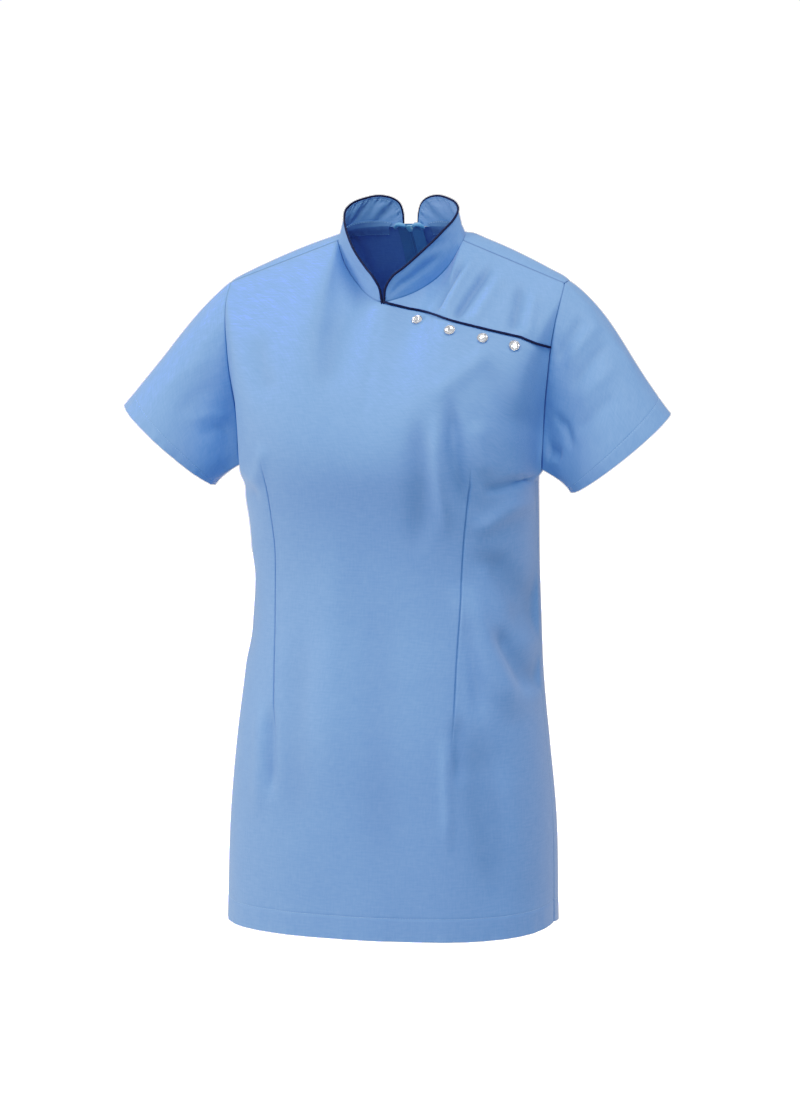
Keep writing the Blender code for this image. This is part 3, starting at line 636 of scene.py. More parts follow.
def hem_relief(grid, level, waves):
    # The stitched hem: a groove along its stitches and small puckers below them
    height = level * drop
    groove = -HEM_GROOVE * bell(height - HEM_DEPTH, HEM_GROOVE_WIDTH)
    run = runs_along(grid, 1)
    below = np.clip(1 - height / (HEM_DEPTH * 1.25), 0, 1)
    return groove + ripple(run, waves) * below


levels = panel_levels(slant_level(front_shares))
shares = np.repeat(front_shares[None, :], len(levels), axis=0)
# The columns follow the darts, and are straight again at the top edge
below_top = np.clip((levels[-1] - levels) / (levels[-1] - 1) * 1.5, 0, 1)
for sign in (1, -1):
    near = bell(shares - sign * DART_SHARE, 0.13) * below_top
    shares = shares + sign * (dart_share(sign, np.minimum(levels, 1.0)) - DART_SHARE) * near
shares[:, 0], shares[:, -1] = -1.0, 1.0
form = body_point(-1, vented(shares, levels), levels)
front_facing, out = faced(form, 40, len(front_shares) // 2, (0.0, -1.0, 0.0))
relief = creases(form[..., [0, 2]], FRONT_CREASES) * held(form, 1, 1, 0, 1)
# Painted shade on the front: its fold troughs, its dart grooves and its seams are coloured darker
painted_shade = fold_shade(relief)
for sign in (1, -1):
    line_share = sign * dart_share(sign, np.minimum(levels, 1.0))
    distance = (shares - line_share) * SHARE_LENGTH
    fade = dart_fade(form, *FRONT_DART_ENDS)
    groove = bell(distance, DART_WIDTH)
    relief += DART_RIDGE * bell(distance - 0.0026, 0.0015) * fade
    tug = 1 + 0.25 * np.sin(form[..., 2] * 900 + sign) * bell(distance, 0.003)
    relief -= DART_SINK * (groove + DART_PULL * bell(distance, DART_PULL_WIDTH) * tug) * fade
    painted_shade = np.maximum(painted_shade, groove * fade * DART_SHADE)
sink = seam_sink(form, 0.3, 0.3, 0.0, 1.0)
relief += sink
painted_shade = np.maximum(painted_shade, seam_shade(sink))
relief += hem_relief(form, levels, ((0.021, 0.00022, 0.4), (0.034, 0.00018, 2.0), (0.0093, 0.00008, 1.0)))
wide_waves = ripple(form[..., 0], ((0.083, 0.0006, 0.5), (0.131, 0.0007, 1.7)))
relief += wide_waves * np.clip(1 - levels * 1.6, 0, 1)
front_grid = form + out * relief[..., None]
thick = np.where(levels * drop < HEM_DEPTH, HEM_CLOTH, CLOTH)
front = dress(shell("front_cloth", front_grid, front_facing, thick, painted_shade=painted_shade), cloth, "cloth", "front")
front_out = normals_of(front_grid, front_facing)
front_hem = stitches("front_hem_stitches", front_grid[hem_row, 2:-2], front_out[hem_row, 2:-2])

# The front yoke is the separate piece at the wearer's upper left, between the slanted seam,
# the neck and the shoulder. It is the same cloth, and falls in soft upright folds.
YOKE_PIPING_LIFT = 0.0009
# Painted shade in the yoke's fold troughs is twice as strong as elsewhere
YOKE_FOLD_SHADE = 2.0
YOKE_CREASES = (
    (0.0050, 0.0058, (0.078, -0.016), (0.067, -0.045), (0.052, -0.080)),
    (0.0050, -0.0034, (0.088, -0.012), (0.078, -0.044), (0.066, -0.084)),
    (0.0054, 0.0056, (0.108, -0.020), (0.096, -0.050), (0.080, -0.090)),
    (0.0060, -0.0024, (0.122, -0.030), (0.112, -0.056), (0.100, -0.090)),
    (0.0056, 0.0036, (0.140, -0.040), (0.143, -0.068), (0.143, -0.100)),
    (0.0050, -0.0020, (0.156, -0.050), (0.158, -0.080), (0.158, -0.106)),
)
yoke_shares = np.concatenate((np.linspace(0.0, SLANT_END, 96), edges, SLANT_END - edges))
yoke_shares = np.unique(np.round(yoke_shares, 6))
low_edge = slant_level(yoke_shares)
yoke_steps = [0.004, 0.01, 0.018, 0.982, 0.99, 0.996]
yoke_steps = np.unique(np.concatenate((np.linspace(0, 1, 40), yoke_steps)))
levels = low_edge[None, :] + (2 - low_edge)[None, :] * yoke_steps[:, None]
shares = np.repeat(yoke_shares[None, :], len(levels), axis=0)
form = body_point(-1, shares, levels)
# Its two ends start a little inside the notch and the armhole
form[:, 0] += (form[:, 1] - form[:, 0]) * 0.5
form[:, -1] += (form[:, -2] - form[:, -1]) * 0.1
out = normals_of(form, front_facing)
relief = creases(form[..., [0, 2]], YOKE_CREASES) * held(form, 0, 1, 1, 1, reach=0.004)
# Painted shade in its fold troughs and along its seams
folds = fold_shade(relief) * YOKE_FOLD_SHADE
sink = seam_sink(form, 0.0, 0.8, 1.0, 1.0)
relief += sink
painted_shade = np.maximum(folds, seam_shade(sink))
yoke = shell("front_yoke_cloth", form + out * relief[..., None], front_facing, painted_shade=painted_shade)
yoke_seam = form[0] + out[0] * YOKE_PIPING_LIFT
dress(yoke, cloth, "cloth", "front_yoke")

# The back is cut in two and joined by a zip at its middle. Each half has one long waist dart,
# a turned hem, and its side edge left open below the vent's top.
ZIP_LENGTH = 0.520
BACK_EDGE_X = 0.0045
ZIP_CLOSE = 0.062
ZIP_STITCH_X = 0.0075
BACK_DART_SHARE = 0.40
BACK_DART_ENDS = (-0.520, 0.06, -0.190, 0.04)
BACK_SHIFT = 0.004
BACK_CREASES = (
    (0.0100, 0.0036, (0.020, -0.318), (0.070, -0.330), (0.135, -0.312)),
    (0.0090, -0.0030, (0.018, -0.338), (0.065, -0.352), (0.138, -0.334)),
    (0.0110, 0.0030, (0.040, -0.372), (0.085, -0.366), (0.146, -0.352)),
    (0.0140, 0.0033, (0.060, -0.090), (0.084, -0.140), (0.120, -0.196)),
    (0.0140, -0.0027, (0.086, -0.080), (0.112, -0.130), (0.148, -0.180)),
    (0.0120, 0.0027, (0.118, -0.420), (0.134, -0.470), (0.152, -0.520)),
    (0.0180, 0.0030, (0.060, -0.500), (0.066, -0.590), (0.072, -0.690)),
    (0.0200, -0.0027, (0.110, -0.520), (0.118, -0.600), (0.126, -0.690)),
    (0.0100, 0.0021, (0.150, -0.240), (0.132, -0.262), (0.106, -0.290)),
)
# Puckers of each half's hem: length, height and start
BACK_WAVES = {
    "left": ((0.026, 0.00024, 1.1), (0.041, 0.00020, 0.2)),
    "right": ((0.023, 0.00024, 2.6), (0.037, 0.00020, 1.4)),
}
SIDES = (("left", 1), ("right", -1))
zip_level = (-ZIP_LENGTH - HEM_Z) / drop
back_shares = np.unique(np.round(np.concatenate((
    np.linspace(0, 1, 84), BACK_DART_SHARE + beside, [BACK_DART_SHARE], edges, 1 - edges
)), 6))
levels = panel_levels(np.full(len(back_shares), 2.0))
shares = np.repeat(back_shares[None, :], len(levels), axis=0)
back_form = body_point(1, vented(shares, levels), levels)
# The middle edges stand off the zip, and close on each other below it
parted = eased_step((levels - zip_level - ZIP_CLOSE) / 0.03) * bell(shares, 0.06)
back_form[..., 0] += BACK_EDGE_X * parted
back_grids = {}
for side_name, sign in SIDES:
    form = mirrored(back_form, sign)
    facing, out = faced(form, 40, 20, (0.0, 1.0, 0.0))
    # The right half's creases lie a little nearer the middle than the left half's
    seen = np.abs(form[..., [0, 2]] + np.array([BACK_SHIFT * sign, 0.0])) * np.array([1.0, -1.0])
    relief = creases(seen, BACK_CREASES) * held(form, 1, 1, 0, 1)
    # Painted shade in its fold troughs, its dart groove and along its seams
    folds = fold_shade(relief)
    distance = (shares - BACK_DART_SHARE) * SHARE_LENGTH
    fade = dart_fade(form, *BACK_DART_ENDS)
    groove = bell(distance, DART_WIDTH) + DART_PULL * bell(distance, DART_PULL_WIDTH)
    relief -= DART_SINK * groove * fade
    sink = seam_sink(form, 0.3, 0.3, 0.0, 1.0)
    painted_shade = np.max([groove * fade * DART_SHADE, seam_shade(sink), folds], axis=0)
    relief += sink + hem_relief(form, levels, BACK_WAVES[side_name])
    grid = form + out * relief[..., None]
    back_grids[side_name] = grid
    thick = np.where(levels * drop < HEM_DEPTH, HEM_CLOTH, CLOTH)
    back = shell("back_cloth_" + side_name, grid, facing, thick, painted_shade=painted_shade)
    dress(back, cloth, "cloth", "back_" + side_name)
    out = normals_of(grid, facing)
    hem = stitches("back_hem_stitches_" + side_name, grid[hem_row, 3:-2], out[hem_row, 3:-2])
    # A row of stitches holds each middle edge to the zip's tape
    column = int(np.argmin(np.abs(back_shares - ZIP_STITCH_X / HALF_GIRTH)))
    zip_rows = levels[:, column] > zip_level + ZIP_CLOSE
    beside_zip = stitches(
        "zip_stitches_" + side_name, grid[zip_rows, column], out[zip_rows, column], radius=0.0002
    )

# Each sleeve is a short tube set into the armhole, eased over the shoulder and open at its
# turned and stitched hem. Its own seam runs along the underarm.
SLEEVE_HEM_TOP = np.array((0.2975, -0.0240, -0.1770))
SLEEVE_HEM_BOTTOM = np.array((0.1970, -0.0415, -0.2590))
SLEEVE_HALF_DEPTH = 0.053
SLEEVE_HEM_DEPTH = 0.020
SLEEVE_FRONT_DROP = {"left": 0.013, "right": -0.006}
SLEEVE_RUN = (
    (0.00, 0.75, -0.05, -0.40),
    (0.25, 0.80, -0.30, -0.55),
    (0.50, 0.80, -0.02, -0.60),
    (0.62, 0.88, 0.12, -0.46),
    (0.75, 0.86, 0.25, -0.46),
    (1.00, 0.75, -0.05, -0.40),
)
SLEEVE_GIRTH = 0.40
ALLOWANCE_TUCK = 0.0016
SLEEVE_LENGTH = 0.145

# Soft creases of each sleeve: width, how deep it sinks, then metres round it from the underarm
# over the front, and metres down it from the armhole
SLEEVE_CREASES = {
    "left": (
        (0.0045, 0.0026, (0.190, 0.030), (0.160, 0.022), (0.118, 0.010)),
        (0.0055, -0.0026, (0.196, 0.046), (0.165, 0.037), (0.120, 0.024)),
        (0.0055, 0.0026, (0.190, 0.062), (0.155, 0.052), (0.106, 0.038)),
        (0.0070, -0.0020, (0.174, 0.078), (0.142, 0.068), (0.098, 0.054)),
        (0.0080, 0.0022, (0.150, 0.092), (0.116, 0.082), (0.076, 0.068)),
        (0.0080, -0.0021, (0.186, 0.010), (0.190, 0.060), (0.186, 0.110)),
        (0.0070, 0.0027, (0.070, 0.015), (0.074, 0.050), (0.060, 0.085)),
        (0.0090, 0.0033, (0.024, 0.010), (0.034, 0.040), (0.040, 0.070)),
        (0.0080, 0.0024, (0.230, 0.012), (0.236, 0.050), (0.240, 0.095)),
        (0.0080, -0.0021, (0.262, 0.012), (0.264, 0.050), (0.262, 0.100)),
        (0.0090, 0.0030, (0.330, 0.012), (0.322, 0.050), (0.318, 0.090)),
    ),
    "right": (
        (0.0080, 0.0009, (0.100, 0.010), (0.104, 0.050), (0.098, 0.100)),
        (0.0090, -0.0008, (0.128, 0.010), (0.134, 0.060), (0.130, 0.110)),
        (0.0070, 0.0008, (0.158, 0.010), (0.162, 0.050), (0.160, 0.090)),
        (0.0080, 0.0015, (0.040, 0.012), (0.058, 0.050), (0.066, 0.090)),
        (0.0070, -0.0012, (0.058, 0.010), (0.078, 0.050), (0.086, 0.095)),
        (0.0080, 0.0011, (0.236, 0.012), (0.240, 0.050), (0.238, 0.095)),
        (0.0090, 0.0014, (0.326, 0.012), (0.320, 0.050), (0.312, 0.090)),
    ),
}


def sleeve_point(turn, along, front_drop):
    centre = (SLEEVE_HEM_TOP + SLEEVE_HEM_BOTTOM) / 2
    upward = (SLEEVE_HEM_TOP - SLEEVE_HEM_BOTTOM) / 2
    axis = unit(np.cross(upward, np.array([0.0, -1.0, 0.0])))
    axis = axis if axis[2] < 0 else -axis
    forward = unit(np.cross(axis, upward))
    forward = forward if forward[1] < 0 else -forward
    forward = forward * SLEEVE_HALF_DEPTH + axis * front_drop
    angle = (turn * 2 * math.pi)[..., None]
    foot = centre - upward * np.cos(angle) + forward * np.sin(angle)
    front_part = curve_at(ARMHOLE_FRONT, np.clip(turn * 2, 0, 1))
    back_part = curve_at(ARMHOLE_BACK, np.clip((1 - turn) * 2, 0, 1))
    start = np.where((turn <= 0.5)[..., None], front_part, back_part)
    length = np.linalg.norm(foot - start, axis=-1, keepdims=True)
    run = unit(row_at(SLEEVE_RUN, turn))
    return hermite(start, run * length, foot, axis * length, along[..., None])


top_length = np.linalg.norm(
    sleeve_point(np.array(0.5), np.array(1.0), 0.0) - sleeve_point(np.array(0.5), np.array(0.0), 0.0)
)
hem_along = 1 - SLEEVE_HEM_DEPTH / top_length
fine = np.array([0.5, 1.1, 1.9, 3.0]) * MILLIMETRE / top_length
alongs = np.unique(np.round(np.concatenate((
    np.linspace(0, 1, 58), fine, hem_along + np.concatenate((-fine, [0.0], fine)), 1 - fine[:2]
)), 6))
turns = np.unique(np.concatenate((np.linspace(0, 1, 150), [0.001, 0.003, 0.997, 0.999])))
along_grid, turn_grid = np.meshgrid(alongs, turns, indexing="ij")
sleeve_hem_row = int(np.argmin(np.abs(alongs - hem_along)))
for side_name, sign in SIDES:
    form = mirrored(sleeve_point(turn_grid, along_grid, SLEEVE_FRONT_DROP[side_name]), sign)
    facing, out = faced(form, 20, len(turns) // 4, (0.0, -1.0, 0.0))
    flat = np.stack([turn_grid * SLEEVE_GIRTH, along_grid * SLEEVE_LENGTH], axis=-1)
    relief = creases(flat, SLEEVE_CREASES[side_name]) * held(form, 1, 1, 1, 0, reach=0.004)
    sink = seam_sink(form, 0.6, 0.6, 1.0, 0.0)
    relief += sink
    # Painted shade in the sleeve's fold troughs and along its seams
    painted_shade = np.maximum(fold_shade(relief - sink), seam_shade(sink) * 0.8)
    # Easing puckers stand up just beyond the armhole seam
    eased = bell(flat[..., 1] - 0.006, 0.005) * np.clip(np.sin(math.pi * turn_grid), 0, 1)
    relief += eased * ripple(flat[..., 0], ((0.011, 0.00016, 0.0), (0.017, 0.00014, 1.0)))
    from_hem = (1 - along_grid) * top_length
    relief -= HEM_GROOVE * bell(from_hem - SLEEVE_HEM_DEPTH, HEM_GROOVE_WIDTH)
    waves = ((0.0115, 0.00020, sign), (0.019, 0.00022, 0.5), (0.047, 0.0004, 2.0))
    puckers = ripple(flat[..., 0], waves)
    relief += puckers * np.clip(1 - from_hem / (SLEEVE_HEM_DEPTH * 1.3), 0, 1)
    grid = form + out * relief[..., None]
    # The allowance turns in behind the armhole seam
    inward = (form[0].mean(axis=0) - form[0]) * 0.025
    allowance = form[0] + inward - np.array([sign * ALLOWANCE_TUCK, 0.0, 0.0])
    tucked = np.concatenate((allowance[None], grid))
    thick = np.where(from_hem < SLEEVE_HEM_DEPTH, HEM_CLOTH, CLOTH)
    thick = np.concatenate((thick[:1], thick))
    painted_shade = np.concatenate((painted_shade[:1], painted_shade))
    sleeve = shell("sleeve_cloth_" + side_name, tucked, facing, thick, painted_shade=painted_shade)
    dress(sleeve, cloth, "cloth", "sleeve_" + side_name)
    out = normals_of(grid, facing)
    hem = stitches("sleeve_stitches_" + side_name, grid[sleeve_hem_row], out[sleeve_hem_row])

# The stand collar is two halves of doubled cloth. Each rises from the neck seam, and is open
# in a V at the front and rounded off beside the zip at the back.
COLLAR_EDGE = (
    (0.0014, -0.0625, -0.0622),
    (0.0036, -0.0645, -0.0490),
    (0.0112, -0.0640, -0.0370),
    (0.0206, -0.0570, -0.0285),
    (0.0300, -0.0500, -0.0190),
    (0.0390, -0.0415, -0.0090),
    (0.0470, -0.0310, 0.0010),
    (0.0545, -0.0190, 0.0120),
    (0.0600, -0.0065, 0.0215),
    (0.0618, 0.0045, 0.0315),
    (0.0565, 0.0130, 0.0390),
    (0.0460, 0.0210, 0.0438),
    (0.0335, 0.0270, 0.0465),
    (0.0215, 0.0325, 0.0448),
    (0.0130, 0.0365, 0.0393),
    (0.0092, 0.0380, 0.0295),
    (0.0083, 0.0380, 0.0165),
)
PIPING_RADIUS = 0.00125
COLLAR_CLOTH = 0.0013
# Painted shade on the inside face of each collar half
COLLAR_PAINTED_SHADE = {"left": 0.22, "right": 0.38}
COLLAR_STEPS = 210
COLLAR_STITCHES = 0.0035
# The collar is about a fifth as high as it is long
COLLAR_SHAPE = 0.22
# Width, how deep it sinks, then share round the collar from its front, and share of its rise
COLLAR_CREASES = {
    "left": (
        (0.030, 0.0016, (0.03, 0.34), (0.14, 0.50), (0.28, 0.52), (0.42, 0.46)),
        (0.040, -0.0008, (0.12, 0.80), (0.26, 0.84), (0.42, 0.70)),
        (0.030, 0.0010, (0.30, 0.90), (0.40, 0.80), (0.50, 0.50)),
        (0.025, 0.0008, (0.66, 0.15), (0.68, 0.50), (0.69, 0.85)),
        (0.025, 0.0008, (0.82, 0.15), (0.81, 0.50), (0.80, 0.85)),
    ),
    "right": (
        (0.050, 0.0012, (0.10, 0.50), (0.24, 0.55), (0.40, 0.35)),
        (0.022, 0.0009, (0.64, 0.15), (0.65, 0.50), (0.66, 0.85)),
        (0.024, -0.0008, (0.72, 0.15), (0.73, 0.50), (0.74, 0.85)),
        (0.022, 0.0009, (0.84, 0.15), (0.83, 0.50), (0.82, 0.85)),
    ),
}


def even_curve(rows, count):
    # Points at even distances along the smooth curve through the rows
    close = curve_at(rows, np.linspace(0, 1, 400))
    runs = runs_along(close, 0)
    return along_line(close, runs, np.linspace(0, 1, count) * runs[-1])


seam = curve_at(NECK_SEAM, np.linspace(0.012, 0.965, COLLAR_STEPS))
runs = runs_along(seam, 0)
close = even_curve(COLLAR_EDGE, 400)
collar_edge = along_line(close, np.linspace(0, 1, 400), 0.01 + 0.99 * runs / runs[-1])
tangent = unit(np.gradient(collar_edge, axis=0))
across = seam - collar_edge
across = unit(across - tangent * np.sum(across * tangent, axis=1, keepdims=True))
collar_edge = collar_edge + across * PIPING_RADIUS * 0.6
rises = np.unique(np.concatenate((
    [-0.05, 0.012, 0.024, 0.04, 0.06], np.linspace(0, 1, 30), 1 - np.linspace(0.01, 0.2, 12)
)))
collar_inside = {}
for side_name, sign in SIDES:
    form = seam[None] + (collar_edge - seam)[None] * rises[:, None, None]
    form = mirrored(form, sign)
    facing, out = faced(form, 10, 40, (sign, -0.5, 0.2))
    round_share = np.repeat((runs / runs[-1])[None], len(rises), axis=0)
    rise_share = np.repeat(rises[:, None], COLLAR_STEPS, axis=1)
    flat = np.stack([round_share, rise_share * COLLAR_SHAPE], axis=-1)
    rows = [
        (width, sink, *[(mark[0], mark[1] * COLLAR_SHAPE) for mark in marks])
        for width, sink, *marks in COLLAR_CREASES[side_name]
    ]
    relief = creases(flat, rows)
    relief += seam_sink(form, 0.0, 0.0, 0.0, 0.5)
    grid = form + out * relief[..., None]
    collar_height = np.linalg.norm(collar_edge - seam, axis=1)[None]
    height = collar_height * (1 - rises[:, None])
    # Inside, the doubled cloth puckers along the row of stitches beside the piping
    run = runs[None] + 0 * height
    near = bell(height - 0.0044, 0.0032)
    inner = near * (-0.0002 + ripple(run, ((0.0046, 0.00050, 0.0), (0.0072, 0.00034, 1.3))))
    free = np.clip(height / 0.01, 0, 1) * np.clip((rise_share - 0.20) / 0.30, 0, 1)
    inner += ripple(run + height * 0.1, ((0.0135, 0.0004, 0.6), (0.023, 0.0005, 2.0))) * free
    # Painted shade on the inside, deeper at the side than at the back and in the troughs of its puckers
    inner_painted_shade = COLLAR_PAINTED_SHADE[side_name] * np.clip(1.25 - 0.5 * round_share, 0, 1)
    inner_painted_shade = np.clip(inner_painted_shade + np.clip(-inner, 0, 1) * 260, 0, 0.8)
    # Painted shade: a thin dark line along the collar's neck seam
    line = 0.6 * bell(rise_share * collar_height, 0.0008)
    collar = shell("collar_cloth_" + side_name, grid, facing, COLLAR_CLOTH, inner, line, inner_painted_shade)
    dress(collar, cloth, "cloth", "collar_" + side_name)
    out = normals_of(grid, facing)
    inside = grid - out * (COLLAR_CLOTH + inner)[..., None]
    collar_inside[side_name] = (inside, out)
    line = []
    for column in range(30, COLLAR_STEPS - 2):
        share = 1 - COLLAR_STITCHES / max(height[0, column], 0.004)
        line.append(along_line(inside[:, column], rises, share))
    way = -out[-2, 30:COLLAR_STEPS - 2]
    row = stitches(
        "collar_stitches_" + side_name, np.array(line), way, length=0.0019, gap=0.0008, radius=0.0002
    )

# Navy bias-cut piping edges each collar half and fills the slanted seam. It is a thin cord in
# a folded strip, caught in the seam on one side.
PIPING_STEPS = 180


def tube(name, points, radius, taper=0.0015, sides=12):
    # A round tube along points, drawn in at its ends
    tangent = unit(np.gradient(points, axis=0))
    side = np.zeros_like(points)
    guide = np.array([0.0, 0.0, 1.0]) if abs(tangent[0][2]) < 0.9 else np.array([1.0, 0.0, 0.0])
    for index, way in enumerate(tangent):
        guide = unit(guide - way * (guide @ way))
        side[index] = guide
    other = np.cross(tangent, side)
    run = runs_along(points, 0)
    ends = np.minimum(run, run[-1] - run)
    girth = radius * np.sqrt(np.clip(1 - (1 - np.clip(ends / taper, 0, 1)) ** 2, 0.06, 1))
    angles = np.linspace(0, 2 * math.pi, sides + 1)
    ring = side[:, None] * np.cos(angles)[None, :, None] + other[:, None] * np.sin(angles)[None, :, None]
    spots = points[:, None] + ring * girth[:, None, None]
    rows = len(points)
    number = np.arange(rows * sides).reshape(rows, sides)
    after = np.roll(number, -1, axis=1)
    quads = np.stack([number[:-1], after[:-1], after[1:], number[1:]], axis=-1).reshape(-1, 4)
    faces = quads.tolist() + [number[0][::-1].tolist(), number[-1].tolist()]
    mesh = closed_mesh(name, spots[:, :-1].reshape(-1, 3), faces)
    layer = mesh.uv_layers.new(name="cloth")
    for polygon in mesh.polygons:
        vertices = [mesh.loops[corner].vertex_index for corner in polygon.loop_indices]
        turned = any(vertex % sides == sides - 1 for vertex in vertices)
        for corner, vertex in zip(polygon.loop_indices, vertices):
            round_place = sides if turned and vertex % sides == 0 else vertex % sides
            layer.data[corner].uv = (round_place / sides * 2 * math.pi * radius, run[vertex // sides])
    return new_piece(name, mesh)


navy = woven(
    "navy bias cloth",
    (0.0085, 0.0150, 0.0520, 1.0),
    (0.0035, 0.0065, 0.0260, 1.0),
    0.00032,
    0.5,
    {"Roughness": 0.66, "Specular IOR Level": 0.2, "Sheen Weight": 0.05},
)
for side_name, sign in SIDES:
    notch = np.array([[0.0010, -0.0634, -0.0668], [0.0011, -0.0630, -0.0645]])
    points = mirrored(np.concatenate((notch, even_curve(COLLAR_EDGE, PIPING_STEPS))), sign)
    piping = tube("collar_piping_cord_" + side_name, points, PIPING_RADIUS)
    dress(piping, navy, "piping", "collar_piping_" + side_name)
piping = tube("yoke_piping_cord", even_curve(yoke_seam, 130), PIPING_RADIUS)
dress(piping, navy, "piping", "yoke_piping")

# A folded tape of the same cloth covers the neck seam inside the back, in two halves. It is
# held by a row of stitches along each edge.
TAPE_DEPTH = 0.0022
TAPE_CLOTH = 0.0008
TAPE_LIFT = 0.0003
TAPE_CLIMB = 0.25


def inside_back(share, level, depth):
    # Points inside the back at a depth, and the way out through the cloth
    here = body_point(1, share, level)
    step = 0.004
    high = np.minimum(level + step, 2.0)
    along = body_point(1, share + step, level) - body_point(1, share - step, level)
    up = body_point(1, share, high) - body_point(1, share, high - 2 * step)
    out = unit(np.cross(along, up))
    out = out * np.where(np.sum(out * np.array([0.0, 1.0, 0.3]), axis=-1, keepdims=True) > 0, 1.0, -1.0)
    return here - out * np.asarray(depth)[..., None], out


tape_shares = np.linspace(0.060, 0.262, 90)
tape_levels = np.linspace(1.974, 1.994, 8)
climbing = np.flatnonzero((rises > 0.03) & (rises < TAPE_CLIMB))
level_grid, share_grid = np.meshgrid(tape_levels, tape_shares, indexing="ij")
for side_name, sign in SIDES:
    ease = ripple(share_grid * HALF_GIRTH, ((0.013, 0.00016, sign), (0.007, 0.00010, 0.4)))
    hang = 0.0020 * (tape_levels[-1] - level_grid) / (tape_levels[-1] - tape_levels[0])
    form, out = inside_back(share_grid, level_grid, TAPE_DEPTH + ease + hang)
    # Its upper edge laps onto the inside of the collar
    sewn = top_edge(1, tape_shares)
    columns = np.argmin(np.linalg.norm(seam[None] - sewn[:, None], axis=-1), axis=1)
    inside, collar_way = (values[climbing][:, columns] for values in collar_inside[side_name])
    form = np.concatenate((mirrored(form, sign), inside - collar_way * TAPE_LIFT))
    out = np.concatenate((mirrored(out, sign), collar_way))
    facing = faced(form, 5, 5, out[5, 5])[0]
    # Its inside face gets painted shade, as it lies in the neck's shade
    tape = shell("neck_tape_cloth_" + side_name, form, facing, TAPE_CLOTH, inner_painted_shade=0.55)
    dress(tape, cloth, "cloth", "neck_tape_" + side_name)
    rows = []
    for name, row in (("lower", 1), ("upper", len(form) - 2)):
        inner = form[row] - out[row] * TAPE_CLOTH
        name = "neck_tape_stitches_%s_%s" % (name, side_name)
        rows.append(stitches(name, inner, -out[row], length=0.002, gap=0.0008, radius=0.0002))

# A nylon coil zip closes the back from the neck down. Its two woven tapes are sewn behind the
# middle edges, and each carries a coil whose loops lock into the other's.
TAPE_INNER_X = 0.0003
TAPE_OUTER_X = 0.0138
ZIP_FOLD_RADIUS = 0.0024
# Painted shade on the inside face of each zip tape
ZIP_PAINTED_SHADE = {"left": 0.10, "right": 0.42}
TAPE_RISE = 0.0060
ZIP_TAPE_CLOTH = 0.0007
COIL_PITCH = 0.0015
COIL_RADIUS = 0.00042
SLIDER_HEIGHT = 0.0090

# Path of each folded tape end: metres out from the zip, up from the tape's top, and inward
FOLD_MARKS = (
    (0.0048, -0.0034, 0.0022),
    (0.0062, 0.0002, 0.0032),
    (0.0092, 0.0020, 0.0034),
    (0.0124, 0.0010, 0.0032),
    (0.0146, -0.0020, 0.0028),
    (0.0150, -0.0060, 0.0018),
)


def zip_line(count):
    # Points down the centre back, just inside the cloth, from the tape's top to its lower end
    line = inside_back(np.zeros(400), np.linspace(2.0, 0.0, 400), np.full(400, TAPE_DEPTH))[0]
    rise = unit(line[0] - line[3])
    line = np.concatenate(([line[0] + rise * TAPE_RISE], line))
    wanted = np.concatenate((np.linspace(0, TAPE_RISE, 8)[:-1], np.linspace(TAPE_RISE, ZIP_LENGTH, count)))
    return along_line(line, runs_along(line, 0), wanted)


zip_tape = woven(
    "zip tape",
    (0.105, 0.300, 0.640, 1.0),
    (0.070, 0.215, 0.500, 1.0),
    0.0007,
    0.8,
    {"Roughness": 0.6, "Specular IOR Level": 0.35, "Sheen Weight": 0.2},
)
nylon = finish(
    "blue nylon coil",
    {"Base Color": (0.085, 0.250, 0.560, 1.0), "Roughness": 0.34, "Coat Weight": 0.15},
)[0]
centre = zip_line(210)
centre_way = unit(np.gradient(centre, axis=0))
centre_out = unit(np.cross(np.array([1.0, 0.0, 0.0]), centre_way))
centre_out = centre_out * np.where(centre_out[:, 1:2] > 0, 1.0, -1.0)
top_up = unit(centre[0] - centre[8])
for side_name, sign in SIDES:
    xs = np.linspace(TAPE_INNER_X, TAPE_OUTER_X, 14)
    form = centre[::-1][:, None] + np.array([1.0, 0.0, 0.0]) * (xs * sign)[None, :, None]
    facing = faced(form, 50, 5, centre_out[::-1][50])[0]
    # Painted shade: the tapes are coloured darker where they meet, for the shade of the gap between them,
    # and the right one darker on its inside face
    middle_shade = 0.95 * bell(xs, 0.0011)
    shades = np.maximum(middle_shade, ZIP_PAINTED_SHADE[side_name])
    tape = shell(
        "zip_tape_cloth_" + side_name, form, facing, ZIP_TAPE_CLOTH, painted_shade=middle_shade, inner_painted_shade=shades
    )
    dress(tape, zip_tape, "zip_tape", "zip_tape_" + side_name)
    # The free top end of each tape is folded over to the inside, away from the slider
    spots = [
        centre[0] + np.array([sign * x, 0.0, 0.0]) + top_up * rise - centre_out[4] * reach
        for x, rise, reach in FOLD_MARKS
    ]
    fold = tube("zip_tape_fold_" + side_name, even_curve(spots, 30), ZIP_FOLD_RADIUS, taper=0.003)
    dress(fold, zip_tape, "zip_tape")

